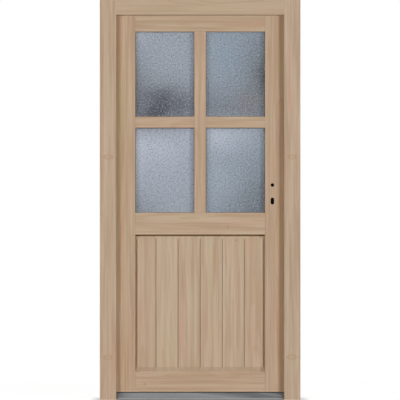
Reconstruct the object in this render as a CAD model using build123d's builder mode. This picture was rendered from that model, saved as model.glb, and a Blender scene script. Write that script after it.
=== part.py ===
from build123d import *
import os
from math import cos, radians, sin

# Side entrance door: a timber leaf that opens inwards, hung in a timber frame with a metal threshold.
# X runs to the right as seen from outside, Y from outside to inside, Z up.
# The origin lies under the threshold, midway along the frame's width and depth.
# Lengths are millimetres, angles degrees.

# Frame
FRAME_WIDTH = 1000.0
FRAME_HEIGHT = 2000.0
FRAME_DEPTH = 68.0
FRAME_FACE = 81.0            # width of the jambs and the head, seen from outside
STOP_THICKNESS = 15.0        # depth of the stop that the leaf closes against
STOP_OVERLAP = 12.0          # how far the stop stands past the floor of the rebate
FRAME_EASE = 2.0             # rounding of the frame's long edges
FIXING_RADIUS = 4.0          # holes for the screws that hold the frame in the wall
FIXING_END_INSET = 150.0     # outer fixings, from the jamb's ends
FIXING_INNER_SPACING = 700.0

# Air between leaf and frame
EDGE_AIR = 5.0               # leaf edge to frame rebate
SEAL_AIR = 3.5               # stop to the leaf's outside face
LIP_AIR = 1.5                # frame's room face to the leaf's lip
BOTTOM_AIR = 4.0             # threshold to the underside of the leaf

# Leaf
LIP_THICKNESS = 17.0         # lip that laps over the frame on the room side
LIP_WIDTH = 20.0
LIP_DROP = 14.0              # how far the lip hangs below the leaf in front of the threshold
STILE_WIDTH = 102.0
TOP_RAIL_WIDTH = 89.0
LOCK_RAIL_WIDTH = 109.0
BOTTOM_RAIL_WIDTH = 100.0
PANEL_OPENING_HEIGHT = 685.0
UPRIGHT_BAR_WIDTH = 58.0
CROSS_BAR_WIDTH = 56.0
LEAF_EASE = 1.5              # rounding of the leaf's long edges
DRIP_GROOVE_WIDTH = 5.0
DRIP_GROOVE_INSET = 9.0      # from the leaf's outside face to the middle of the drip groove

# Corner joints
TENON_LENGTH = 40.0
TENON_THICKNESS = 14.0
TENON_SHOULDER = 12.0        # from the tenon's edge to the rail's edge
TENON_FIT = 0.2

# Glazing
GLAZING_LIP = 14.0           # timber in front of the panes
GLAZING_REBATE = 18.0        # how far the rebate is cut past the opening's edge
GLAZING_TAPE = 2.0           # thickness of the seals in front of and behind the panes
GLAZING_TAPE_WIDTH = 9.0
GLAZING_TAPE_SHOW = 1.5      # how much of a seal shows inside the opening
GLASS_AIR = 4.0              # from the panes' edges to the floor of the rebate
PANE_THICKNESS = 4.0
PANE_GAP = 16.0
SPACER_WIDTH = 11.0
BEAD_SETBACK = 1.0           # beads lie this far behind the leaf's room face
BEAD_BEVEL = 6.0
MITRE_GAP = 0.2
BLOCK_LENGTH = 60.0
BLOCK_SPREAD_SHARE = 0.25    # setting blocks, from the pane's middle, as a share of the pane's width

# Board panel
BOARD_PITCH = 110.5
BOARD_COUNT = 6
BOARD_GAP = 0.4
BOARD_VEE = 3.0              # depth of the V joint's chamfers
TONGUE_LENGTH = 9.0
TONGUE_THICKNESS = 8.0
TONGUE_FIT = 0.3
FIELD_RECESS = 11.0          # boards' face behind the leaf's face
FIELD_STEP = 3.0             # drop from the raised field to its bevel
FIELD_END_MARGIN = 22.0      # height of the bevels at the boards' ends
FIELD_SIDE_MARGIN = 11.0     # width of the bevels beside the stiles
SHADOW_GROOVE_HEIGHT = 7.5   # groove across the boards' tops, under the lock rail
SHADOW_GROOVE_DEPTH = 7.5

# Threshold
THRESHOLD_HEIGHT = 35.0
THRESHOLD_SETBACK = 3.0      # nose behind the frame's outside face
NOSE_HEIGHT = 12.0
NOSE_LEDGE = 4.0
RAMP_TOP_INSET = 3.0         # top of the ramp, behind the leaf's outside face
RAIL_WALL = 2.0
RAIL_ROUND = 1.0
OUTER_RAIL_DEPTH = 34.0
ISOLATOR_DEPTH = 14.0
ISOLATOR_SINK = 0.5          # the isolator lies below the rails
END_BLOCK_LENGTH = 14.0
END_BLOCK_SPIGOT = 10.0
END_BLOCK_FIT = 0.2

# Gasket in the frame's stop and seal under the leaf
GASKET_INSET = 4.0           # groove's middle, from the stop's edge
GASKET_GROOVE_WIDTH = 3.0
GASKET_GROOVE_DEPTH = 6.0
GASKET_FIT = 0.2
GASKET_BULB_WIDTH = 7.0
GASKET_BULB_ROUND = 1.4
SEAL_TOUCH = 0.3             # soft strips stop this far from what they meet
BOTTOM_SEAL_WIDTH = 8.0
BOTTOM_SEAL_GROOVE_WIDTH = 4.0
BOTTOM_SEAL_GROOVE_DEPTH = 6.0
BOTTOM_SEAL_END = 2.0        # from the leaf's edge to the end of the seal

# Hinges
HINGE_INSET = 220.0          # outer hinges, from the leaf's ends
KNUCKLE_RADIUS = 9.0
KNUCKLE_HEIGHT = 42.0
KNUCKLE_AIR = 0.8            # knuckle to the lip and to the frame
KNUCKLE_CHAMFER = 1.5
KNUCKLE_GAP = 0.3            # between the two knuckles of a hinge
HINGE_PIN_RADIUS = 5.0
HINGE_PIN_LENGTH = 34.0
HINGE_PIN_FIT = 0.05
HINGE_PIN_END_AIR = 1.0
PEG_RADIUS = 4.0
PEG_LENGTH = 46.0
PEG_FIT = 0.1

# Lock
BACKSET = 65.0
LOCK_SPACING = 72.0          # spindle to the middle of the cylinder's round part
HANDLE_HOLE_RADIUS = 9.0
CYLINDER_SLOT_WIDTH = 18.0
CYLINDER_SLOT_HEIGHT = 34.0
CASE_THICKNESS = 15.0
CASE_WALL = 1.5
CASE_BEHIND = 15.0           # case behind the spindle
CASE_BELOW = 107.0           # case below the spindle
CASE_ABOVE_LATCH = 16.0
CASE_ABOVE_RAIL = 31.0       # case above the lock rail, clear of the rail's tenon
MORTISE_AIR = 0.5
PLATE_THICKNESS = 3.0
FACEPLATE_WIDTH = 20.0
FACEPLATE_HEIGHT = 235.0
STRIKE_WIDTH = 26.0
STRIKE_HEIGHT = 225.0
PLATE_SEAT = 0.1
PLATE_SCREW_INSET = 12.0

# Lock's moving pieces, drawn back
BOLT_AIR = 0.4               # bolts to the faceplate and to the case
LATCH_THROW = 12.0
LATCH_THICKNESS = 10.0
LATCH_HEIGHT = 30.0
LATCH_HEAD = 24.0
LATCH_NOSE = 3.0             # flat left on the latch's bevelled nose
TAIL_THICKNESS = 8.0
TAIL_HEIGHT = 8.0
LUG_LENGTH = 4.0
LUG_FOOT = 0.6               # lug's foot above the middle of the lever's tip, drawn back
DEAD_BOLT_THROW = 20.0
DEAD_BOLT_THICKNESS = 9.0
DEAD_BOLT_HEIGHT = 32.0
DEAD_BOLT_LENGTH = 50.0
DEAD_BOLT_DROP = 36.0        # dead bolt below the spindle
BOLT_CHAMFER = 1.0
POCKET_AIR = 2.0             # bolts to the strike plate's openings and the pockets behind them
POCKET_END_AIR = 4.0
HUB_RADIUS = 8.5
HUB_FIT = 0.05
SPINDLE_SQUARE = 8.0
FOLLOWER_WEB = 2.0           # between the follower's two sockets
LEVER_TIP_RADIUS = 3.0
LEVER_THICKNESS = 8.0
LEVER_SWING = 37.0
LEVER_TOUCH = 0.3            # lever's tip to the lug
LEVER_AIR = 1.1              # lever's tip to the latch's tail at mid swing

# Countersunk screw holes of the two plates
SCREW_HEAD_RADIUS = 4.0
SCREW_HEAD_ANGLE = 90.0
SCREW_RADIUS = 2.2

OVERRUN = 5.0                # how far every cut runs past its piece

# Frame faces
frame_half = FRAME_WIDTH / 2
frame_front = -FRAME_DEPTH / 2
frame_back = FRAME_DEPTH / 2
stop_back = frame_front + STOP_THICKNESS
opening_half = frame_half - FRAME_FACE
rebate_half = opening_half + STOP_OVERLAP
rebate_middle = (stop_back + frame_back) / 2
head_edge = FRAME_HEIGHT - FRAME_FACE
head_floor = head_edge + STOP_OVERLAP

# Leaf faces
leaf_half = rebate_half - EDGE_AIR
leaf_front = stop_back + SEAL_AIR
leaf_bottom = THRESHOLD_HEIGHT + BOTTOM_AIR
leaf_top = head_floor - EDGE_AIR
lip_half = leaf_half + LIP_WIDTH
lip_front = frame_back + LIP_AIR
leaf_back = lip_front + LIP_THICKNESS
lip_bottom = leaf_bottom - LIP_DROP
lip_top = leaf_top + LIP_WIDTH

# Openings of the leaf
daylight_half = leaf_half - STILE_WIDTH
floor_half = daylight_half + GLAZING_REBATE
panel_low = leaf_bottom + BOTTOM_RAIL_WIDTH
panel_high = panel_low + PANEL_OPENING_HEIGHT
glass_low = panel_high + LOCK_RAIL_WIDTH
glass_high = leaf_top - TOP_RAIL_WIDTH
pane_width = daylight_half - UPRIGHT_BAR_WIDTH / 2
pane_height = (glass_high - glass_low - CROSS_BAR_WIDTH) / 2
pane_x = (UPRIGHT_BAR_WIDTH + pane_width) / 2
lower_pane_z = glass_low + pane_height / 2
upper_pane_z = glass_high - pane_height / 2
cross_bar_z = (glass_low + glass_high) / 2
panel_z = (panel_low + panel_high) / 2

# Depths of the glazing
rebate_plane = leaf_front + GLAZING_LIP
unit_front = rebate_plane + GLAZING_TAPE
unit_back = unit_front + 2 * PANE_THICKNESS + PANE_GAP
bead_front = unit_back + GLAZING_TAPE
bead_back = leaf_back - BEAD_SETBACK
field_face = leaf_front + FIELD_RECESS
tenon_y = (rebate_plane + lip_front) / 2

# Gasket, seal, hinge and lock places
gasket_half = opening_half + GASKET_INSET
gasket_top = head_edge + GASKET_INSET
bottom_seal_y = rebate_middle
drip_groove_y = leaf_front + DRIP_GROOVE_INSET
hinge_x = -(lip_half + KNUCKLE_AIR + KNUCKLE_RADIUS)
hinge_y = frame_back + KNUCKLE_AIR + KNUCKLE_RADIUS
hinge_heights = [leaf_bottom + HINGE_INSET, (leaf_bottom + leaf_top) / 2, leaf_top - HINGE_INSET]
spindle_x = leaf_half - BACKSET
spindle_z = glass_low + CASE_ABOVE_RAIL + CASE_BELOW
lock_y = (leaf_front + lip_front) / 2
slot_z = spindle_z - LOCK_SPACING + (CYLINDER_SLOT_WIDTH - CYLINDER_SLOT_HEIGHT) / 2
case_front = leaf_half - PLATE_THICKNESS
case_back = spindle_x - CASE_BEHIND
lever_tilt = LEVER_SWING / 2
lever_radius = LATCH_THROW / (2 * sin(radians(lever_tilt)))
latch_z = spindle_z + lever_radius + LEVER_TIP_RADIUS + LEVER_AIR + TAIL_HEIGHT / 2
dead_bolt_z = spindle_z - DEAD_BOLT_DROP
case_low = spindle_z - CASE_BELOW
case_high = latch_z + LATCH_HEIGHT / 2 + CASE_ABOVE_LATCH
plate_z = (case_low + case_high) / 2

os.makedirs("parts", exist_ok=True)


def outside_view(depth):
    """Sketch plane across the door at a depth: sketch x is X, sketch y is Z, and it faces outside."""
    return Plane.XZ.offset(-depth)


def nearest(items, *points):
    """The vertex or edge nearest to each of the points."""
    return [items.sort_by_distance(point)[0] for point in points]


def write(piece, name):
    """Label a finished piece and write it under its own name."""
    piece.label = name
    export_step(piece, "parts/" + name + ".step")


def make_jamb(side):
    """Rebated jamb, square at the head, with groove, head mortise and fixing holes."""
    outline = [
        (side * frame_half, frame_front),
        (side * opening_half, frame_front),
        (side * opening_half, stop_back),
        (side * rebate_half, stop_back),
        (side * rebate_half, frame_back),
        (side * frame_half, frame_back),
    ]
    inner_corner = outline[3]
    outer_corners = [outline[0], outline[-1]]
    with BuildPart() as jamb:
        with BuildSketch() as eased:
            with BuildLine():
                Polyline(*outline, close=True)
            make_face()
            fillet(eased.vertices().sort_by_distance(inner_corner)[1:], FRAME_EASE)
        extrude(amount=head_edge)
        with BuildSketch(Plane.XY.offset(head_edge)) as squared:
            with BuildLine():
                Polyline(*outline, close=True)
            make_face()
            fillet(nearest(squared.vertices(), *outer_corners), FRAME_EASE)
        extrude(amount=FRAME_FACE)
        # Groove for the gasket, turning into the head's groove at the top
        with BuildSketch(Plane.XY.offset(THRESHOLD_HEIGHT)):
            with Locations((side * gasket_half, stop_back)):
                Rectangle(GASKET_GROOVE_WIDTH, 2 * GASKET_GROOVE_DEPTH)
        extrude(amount=gasket_top + GASKET_GROOVE_WIDTH / 2 - THRESHOLD_HEIGHT, mode=Mode.SUBTRACT)
        with BuildSketch(outside_view(stop_back)):
            with Locations((side * opening_half, gasket_top)):
                Rectangle(2 * GASKET_INSET, GASKET_GROOVE_WIDTH)
        extrude(amount=GASKET_GROOVE_DEPTH, mode=Mode.SUBTRACT)
        # Mortise for the head's tenon
        with BuildSketch(Plane.YZ.offset(side * rebate_half)):
            with Locations((rebate_middle, (head_floor + FRAME_HEIGHT) / 2)):
                Rectangle(TENON_THICKNESS + 2 * TENON_FIT, head_tenon_height + 2 * TENON_FIT)
        extrude(amount=side * (TENON_LENGTH + TENON_FIT), mode=Mode.SUBTRACT)
        # Fixing holes through the floor of the rebate
        with Locations(
            *[
                Plane(origin=(side * rebate_half, rebate_middle, height), z_dir=(-side, 0, 0))
                for height in fixing_heights
            ]
        ):
            Hole(FIXING_RADIUS, FRAME_FACE)
    return jamb.part


def make_rail(section, eased_points, tenon_z, tenon_height, grooves):
    """Rail of a given section, coped over the stiles' glazing lips, with a tenon at each end."""
    with BuildPart() as rail:
        with BuildSketch(Plane.YZ) as profile:
            with BuildLine():
                Polyline(*section, close=True)
            make_face()
            fillet(nearest(profile.vertices(), *eased_points), LEAF_EASE)
            for groove_y, groove_width, groove_depth in grooves:
                with Locations((groove_y, leaf_bottom)):
                    Rectangle(groove_width, 2 * groove_depth, mode=Mode.SUBTRACT)
        extrude(amount=floor_half, both=True)
        with BuildSketch():
            with Locations((-floor_half, leaf_front), (floor_half, leaf_front)):
                Rectangle(2 * GLAZING_REBATE, 2 * GLAZING_LIP)
        extrude(amount=FRAME_HEIGHT, mode=Mode.SUBTRACT)
        with BuildSketch(Plane.YZ):
            with Locations((tenon_y, tenon_z)):
                Rectangle(TENON_THICKNESS, tenon_height)
        extrude(amount=floor_half + TENON_LENGTH, both=True)
    return rail.part


def make_stile(side):
    """Stile of the leaf's full height, rebated for the glazing, with mortises for the three rails."""
    outline = [
        (side * leaf_half, leaf_front),
        (side * daylight_half, leaf_front),
        (side * daylight_half, rebate_plane),
        (side * floor_half, rebate_plane),
        (side * floor_half, leaf_back),
        (side * lip_half, leaf_back),
        (side * lip_half, lip_front),
        (side * leaf_half, lip_front),
    ]
    eased_points = [outline[0], outline[1], outline[5], outline[6]]
    body_depth = lip_front - leaf_front
    with BuildPart() as stile:
        with BuildSketch(Plane.XY.offset(lip_bottom)) as profile:
            with BuildLine():
                Polyline(*outline, close=True)
            make_face()
            fillet(nearest(profile.vertices(), *eased_points), LEAF_EASE)
        extrude(amount=lip_top - lip_bottom)
        # The lip alone runs on past the ends of the body
        for end_z, direction in ((leaf_top, 1), (leaf_bottom, -1)):
            with BuildSketch(Plane.XY.offset(end_z)):
                with Locations((side * (leaf_half + daylight_half) / 2, lip_front - body_depth)):
                    Rectangle(2 * STILE_WIDTH, 2 * body_depth)
            extrude(amount=direction * FRAME_FACE, mode=Mode.SUBTRACT)
        for groove_y, groove_width, groove_depth in underside_grooves:
            with BuildSketch(Plane.XY.offset(leaf_bottom)):
                with Locations((side * (leaf_half + floor_half) / 2, groove_y)):
                    Rectangle(2 * STILE_WIDTH, groove_width)
            extrude(amount=groove_depth, mode=Mode.SUBTRACT)
        for tenon_z, tenon_height in rail_tenons:
            with BuildSketch(Plane.YZ.offset(side * floor_half)):
                with Locations((tenon_y, tenon_z)):
                    Rectangle(TENON_THICKNESS + 2 * TENON_FIT, tenon_height + 2 * TENON_FIT)
            extrude(amount=side * (TENON_LENGTH + TENON_FIT), mode=Mode.SUBTRACT)
    return stile.part


def make_board(index):
    """One tongued and grooved board with V joints on both faces and bevelled ends."""
    first = index == 0
    last = index == BOARD_COUNT - 1
    left = -panel_half if first else (index - BOARD_COUNT / 2) * BOARD_PITCH + BOARD_GAP / 2
    right = panel_half if last else (index + 1 - BOARD_COUNT / 2) * BOARD_PITCH - BOARD_GAP / 2
    middle = (unit_front + unit_back) / 2
    bevel_height = FIELD_END_MARGIN - GLAZING_TAPE_SHOW
    bevel_end = bevel_height + GLAZING_REBATE + OVERRUN
    joint_corners = [(x, y) for x in (left, right) for y in (field_face, unit_back) if abs(x) < panel_half]
    bevel = [
        (field_face - OVERRUN, 0),
        (field_face + FIELD_STEP, 0),
        (unit_front, bevel_height),
        (unit_front, bevel_end),
        (field_face - OVERRUN, bevel_end),
    ]
    with BuildPart() as board:
        with BuildSketch(Plane.XY.offset(board_low)) as profile:
            with Locations(((left + right) / 2, (field_face + unit_back) / 2)):
                Rectangle(right - left, unit_back - field_face)
            chamfer(nearest(profile.vertices(), *joint_corners), BOARD_VEE)
            if not last:
                with Locations((right, middle)):
                    Rectangle(2 * TONGUE_LENGTH, TONGUE_THICKNESS)
            if not first:
                with Locations((left, middle)):
                    Rectangle(
                        2 * (TONGUE_LENGTH + TONGUE_FIT),
                        TONGUE_THICKNESS + 2 * TONGUE_FIT,
                        mode=Mode.SUBTRACT,
                    )
        extrude(amount=board_high - board_low)
        for edge_z, up in ((panel_high - FIELD_END_MARGIN, 1), (panel_low + FIELD_END_MARGIN, -1)):
            with BuildSketch(Plane.YZ):
                with BuildLine():
                    Polyline(*[(y, edge_z + up * z) for y, z in bevel], close=True)
                make_face()
            extrude(amount=panel_half + OVERRUN, both=True, mode=Mode.SUBTRACT)
        groove_top = panel_high - GLAZING_TAPE_SHOW
        with BuildSketch(Plane.YZ):
            with Locations((unit_front, groove_top - SHADOW_GROOVE_HEIGHT / 2)):
                Rectangle(2 * SHADOW_GROOVE_DEPTH, SHADOW_GROOVE_HEIGHT)
        extrude(amount=panel_half + OVERRUN, both=True, mode=Mode.SUBTRACT)
        if first or last:
            side = -1 if first else 1
            with BuildSketch(Plane.XY.offset(board_low)):
                with BuildLine():
                    Polyline(
                        (side * field_half, field_face - OVERRUN),
                        (side * field_half, field_face + FIELD_STEP),
                        (side * (daylight_half - GLAZING_TAPE_SHOW), unit_front),
                        (side * (panel_half + OVERRUN), unit_front),
                        (side * (panel_half + OVERRUN), field_face - OVERRUN),
                        close=True,
                    )
                make_face()
            extrude(amount=board_high - board_low, mode=Mode.SUBTRACT)
    return board.part


def make_beads(x, z, width, height, front):
    """Four mitred beads round an opening, bevelled towards the room."""
    with BuildPart() as beads:
        for turned in (False, True):
            along, across = (height, width) if turned else (width, height)
            for side in (-1, 1):
                inner = across / 2
                outer = inner + GLAZING_REBATE
                end = along / 2 - MITRE_GAP
                corners = [
                    (-end, side * inner),
                    (end, side * inner),
                    (end + GLAZING_REBATE, side * outer),
                    (-end - GLAZING_REBATE, side * outer),
                ]
                with BuildSketch(outside_view(front)):
                    with BuildLine():
                        Polyline(
                            *[(x + v, z + u) if turned else (x + u, z + v) for u, v in corners],
                            close=True,
                        )
                    make_face()
                extrude(amount=front - bead_back)
        room_edges = [
            (x + width / 2, bead_back, z),
            (x - width / 2, bead_back, z),
            (x, bead_back, z + height / 2),
            (x, bead_back, z - height / 2),
        ]
        chamfer(nearest(beads.edges(), *room_edges), BEAD_BEVEL)
    return beads.part


# Frame: two jambs, the right one with the lock's pockets, the left one with the hinges' holes
head_tenon_height = FRAME_HEIGHT - head_floor - 2 * TENON_SHOULDER
fixing_heights = [
    FIXING_END_INSET,
    (FRAME_HEIGHT - FIXING_INNER_SPACING) / 2,
    (FRAME_HEIGHT + FIXING_INNER_SPACING) / 2,
    FRAME_HEIGHT - FIXING_END_INSET,
]
left_jamb_blank = make_jamb(-1)
right_jamb_blank = make_jamb(1)

with BuildPart() as hinge_jamb:
    add(left_jamb_blank)
    with Locations(
        *[
            Plane(
                origin=(hinge_x, frame_back, height - KNUCKLE_HEIGHT / 2),
                z_dir=(0, 1, 0),
            )
            for height in hinge_heights
        ]
    ):
        Hole(PEG_RADIUS + PEG_FIT, PEG_LENGTH)
write(hinge_jamb.part, "hinge_jamb")

latch_pocket = (
    LATCH_THICKNESS + 2 * POCKET_AIR,
    LATCH_HEIGHT + 2 * POCKET_AIR,
    LATCH_THROW - EDGE_AIR + POCKET_END_AIR,
)
bolt_pocket = (
    DEAD_BOLT_THICKNESS + 2 * POCKET_AIR,
    DEAD_BOLT_HEIGHT + 2 * POCKET_AIR,
    DEAD_BOLT_THROW - EDGE_AIR + POCKET_END_AIR,
)
with BuildPart() as lock_jamb:
    add(right_jamb_blank)
    with BuildSketch(Plane.YZ.offset(rebate_half)):
        with Locations((lock_y, plate_z)):
            Rectangle(STRIKE_WIDTH + 2 * PLATE_SEAT, STRIKE_HEIGHT + 2 * PLATE_SEAT)
    extrude(amount=PLATE_THICKNESS, mode=Mode.SUBTRACT)
    for pocket_z, (pocket_width, pocket_height, pocket_depth) in (
        (latch_z, latch_pocket),
        (dead_bolt_z, bolt_pocket),
    ):
        with BuildSketch(Plane.YZ.offset(rebate_half)):
            with Locations((lock_y, pocket_z)):
                Rectangle(pocket_width, pocket_height)
        extrude(amount=pocket_depth, mode=Mode.SUBTRACT)
write(lock_jamb.part, "lock_jamb")

# Head, coped between the stops and tenoned into the jambs
head_section = [
    (frame_front, head_edge),
    (frame_front, FRAME_HEIGHT),
    (frame_back, FRAME_HEIGHT),
    (frame_back, head_floor),
    (stop_back, head_floor),
    (stop_back, head_edge),
]
with BuildPart() as head:
    with BuildSketch(Plane.YZ) as head_profile:
        with BuildLine():
            Polyline(*head_section, close=True)
        make_face()
        fillet(head_profile.vertices().sort_by_distance(head_section[4])[1:], FRAME_EASE)
        with Locations((stop_back, gasket_top)):
            Rectangle(2 * GASKET_GROOVE_DEPTH, GASKET_GROOVE_WIDTH, mode=Mode.SUBTRACT)
    extrude(amount=rebate_half, both=True)
    with BuildSketch(Plane.XY.offset(head_edge)):
        with Locations((-rebate_half, frame_front), (rebate_half, frame_front)):
            Rectangle(2 * STOP_OVERLAP, 2 * STOP_THICKNESS)
    extrude(amount=FRAME_FACE, mode=Mode.SUBTRACT)
    with BuildSketch(Plane.YZ):
        with Locations((rebate_middle, (head_floor + FRAME_HEIGHT) / 2)):
            Rectangle(TENON_THICKNESS, head_tenon_height)
    extrude(amount=rebate_half + TENON_LENGTH, both=True)
write(head.part, "head")

# Gaskets: a root in the stop's groove and a soft bulb that reaches for the leaf
gasket_root_width = GASKET_GROOVE_WIDTH - 2 * GASKET_FIT
gasket_root_depth = GASKET_GROOVE_DEPTH - GASKET_FIT
gasket_bulb_depth = SEAL_AIR - SEAL_TOUCH
gasket_side_top = gasket_top - GASKET_BULB_WIDTH / 2 - GASKET_FIT
for side, gasket_name in ((-1, "gasket_hinge_side"), (1, "gasket_lock_side")):
    with BuildPart() as gasket:
        with BuildSketch(Plane.XY.offset(THRESHOLD_HEIGHT)) as gasket_profile:
            with Locations((side * gasket_half, stop_back + gasket_bulb_depth / 2)):
                Rectangle(GASKET_BULB_WIDTH, gasket_bulb_depth)
            fillet(gasket_profile.vertices().group_by(Axis.Y)[-1], GASKET_BULB_ROUND)
            with Locations((side * gasket_half, stop_back - gasket_root_depth / 2)):
                Rectangle(gasket_root_width, gasket_root_depth)
        extrude(amount=gasket_side_top - THRESHOLD_HEIGHT)
    write(gasket.part, gasket_name)

with BuildPart() as gasket_head:
    with BuildSketch(Plane.YZ) as gasket_head_profile:
        with Locations((stop_back + gasket_bulb_depth / 2, gasket_top)):
            Rectangle(gasket_bulb_depth, GASKET_BULB_WIDTH)
        fillet(gasket_head_profile.vertices().group_by(Axis.X)[-1], GASKET_BULB_ROUND)
        with Locations((stop_back - gasket_root_depth / 2, gasket_top)):
            Rectangle(gasket_root_depth, gasket_root_width)
    extrude(amount=gasket_half + gasket_root_width / 2, both=True)
write(gasket_head.part, "gasket_head")

# Threshold: two hollow rails with an isolator between them, closed by an end block at each jamb
threshold_front = frame_front + THRESHOLD_SETBACK
isolator_front = threshold_front + OUTER_RAIL_DEPTH
isolator_back = isolator_front + ISOLATOR_DEPTH
rail_half = opening_half - END_BLOCK_LENGTH
outer_rail_section = [
    (threshold_front, 0),
    (threshold_front, NOSE_HEIGHT),
    (threshold_front + NOSE_LEDGE, NOSE_HEIGHT),
    (leaf_front + RAMP_TOP_INSET, THRESHOLD_HEIGHT),
    (isolator_front, THRESHOLD_HEIGHT),
    (isolator_front, 0),
]
with BuildPart() as threshold_outer_rail:
    with BuildSketch(Plane.YZ) as outer_rail_profile:
        with BuildLine():
            Polyline(*outer_rail_section, close=True)
        make_face()
        offset(amount=-RAIL_WALL, mode=Mode.SUBTRACT)
        fillet(
            nearest(outer_rail_profile.vertices(), outer_rail_section[1], outer_rail_section[3]),
            RAIL_ROUND,
        )
    extrude(amount=rail_half, both=True)
write(threshold_outer_rail.part, "threshold_outer_rail")

with BuildPart() as threshold_isolator:
    with BuildSketch(Plane.YZ):
        with Locations(((isolator_front + isolator_back) / 2, (THRESHOLD_HEIGHT - ISOLATOR_SINK) / 2)):
            Rectangle(ISOLATOR_DEPTH, THRESHOLD_HEIGHT - ISOLATOR_SINK)
    extrude(amount=rail_half, both=True)
write(threshold_isolator.part, "threshold_isolator")

with BuildPart() as threshold_inner_rail:
    with BuildSketch(Plane.YZ) as inner_rail_profile:
        with Locations(((isolator_back + frame_back) / 2, THRESHOLD_HEIGHT / 2)):
            Rectangle(frame_back - isolator_back, THRESHOLD_HEIGHT)
        offset(amount=-RAIL_WALL, mode=Mode.SUBTRACT)
        fillet(nearest(inner_rail_profile.vertices(), (frame_back, THRESHOLD_HEIGHT)), RAIL_ROUND)
    extrude(amount=rail_half, both=True)
write(threshold_inner_rail.part, "threshold_inner_rail")

spigot_height = THRESHOLD_HEIGHT - 2 * (RAIL_WALL + END_BLOCK_FIT)
spigot_depth = frame_back - isolator_back - 2 * (RAIL_WALL + END_BLOCK_FIT)
for side, block_name in ((-1, "threshold_end_block_left"), (1, "threshold_end_block_right")):
    with BuildPart() as end_block:
        with BuildSketch(Plane.YZ.offset(side * rail_half)):
            with BuildLine():
                Polyline(
                    *outer_rail_section[:4],
                    (frame_back, THRESHOLD_HEIGHT),
                    (frame_back, 0),
                    close=True,
                )
            make_face()
        extrude(amount=side * END_BLOCK_LENGTH)
        with BuildSketch(Plane.YZ.offset(side * opening_half)):
            with Locations((rebate_middle, THRESHOLD_HEIGHT / 2)):
                Rectangle(frame_back - stop_back, THRESHOLD_HEIGHT)
        extrude(amount=side * STOP_OVERLAP)
        # Spigot that plugs into the inner rail
        with BuildSketch(Plane.YZ.offset(side * rail_half)):
            with Locations(((isolator_back + frame_back) / 2, THRESHOLD_HEIGHT / 2)):
                Rectangle(spigot_depth, spigot_height)
        extrude(amount=-side * END_BLOCK_SPIGOT)
    write(end_block.part, block_name)

# Strike plate, let into the lock jamb, with an opening for each bolt
strike_screw_places = [
    (lock_y, plate_z + sign * (STRIKE_HEIGHT / 2 - PLATE_SCREW_INSET)) for sign in (-1, 1)
]
with BuildPart() as strike_plate:
    with BuildSketch(Plane.YZ.offset(rebate_half)):
        with Locations((lock_y, plate_z)):
            Rectangle(STRIKE_WIDTH, STRIKE_HEIGHT)
        with Locations((lock_y, latch_z)):
            Rectangle(*latch_pocket[:2], mode=Mode.SUBTRACT)
        with Locations((lock_y, dead_bolt_z)):
            Rectangle(*bolt_pocket[:2], mode=Mode.SUBTRACT)
    extrude(amount=PLATE_THICKNESS)
    with Locations(
        *[Plane(origin=(rebate_half, y, z), z_dir=(-1, 0, 0)) for y, z in strike_screw_places]
    ):
        CounterSinkHole(SCREW_RADIUS, SCREW_HEAD_RADIUS, PLATE_THICKNESS, SCREW_HEAD_ANGLE)
write(strike_plate.part, "strike_plate")

# Hinges: the frame's knuckle carries a pin, and the leaf's knuckle turns on it
with BuildPart() as hinge_frame_parts:
    for height in hinge_heights:
        with BuildSketch(Plane((hinge_x, hinge_y, height - KNUCKLE_HEIGHT))):
            Circle(KNUCKLE_RADIUS)
        extrude(amount=KNUCKLE_HEIGHT)
        chamfer(hinge_frame_parts.edges(Select.LAST).group_by(Axis.Z)[0], KNUCKLE_CHAMFER)
        with BuildSketch(Plane((hinge_x, hinge_y, height))):
            Circle(HINGE_PIN_RADIUS)
        extrude(amount=HINGE_PIN_LENGTH)
        with BuildSketch(Plane((hinge_x, hinge_y, height - KNUCKLE_HEIGHT / 2), z_dir=(0, -1, 0))):
            Circle(PEG_RADIUS)
        extrude(amount=PEG_LENGTH)
write(hinge_frame_parts.part, "hinge_frame_parts")

with BuildPart() as hinge_leaf_parts:
    for height in hinge_heights:
        with BuildSketch(Plane((hinge_x, hinge_y, height + KNUCKLE_GAP))):
            Circle(KNUCKLE_RADIUS)
        extrude(amount=KNUCKLE_HEIGHT)
        chamfer(hinge_leaf_parts.edges(Select.LAST).group_by(Axis.Z)[-1], KNUCKLE_CHAMFER)
        with BuildSketch(
            Plane((hinge_x, hinge_y, height + KNUCKLE_GAP + KNUCKLE_HEIGHT / 2), z_dir=(1, 0, 0))
        ):
            Circle(PEG_RADIUS)
        extrude(amount=PEG_LENGTH)
        with BuildSketch(Plane((hinge_x, hinge_y, height))):
            Circle(HINGE_PIN_RADIUS + HINGE_PIN_FIT)
        extrude(amount=HINGE_PIN_LENGTH + HINGE_PIN_END_AIR, mode=Mode.SUBTRACT)
write(hinge_leaf_parts.part, "hinge_leaf_parts")

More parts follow.
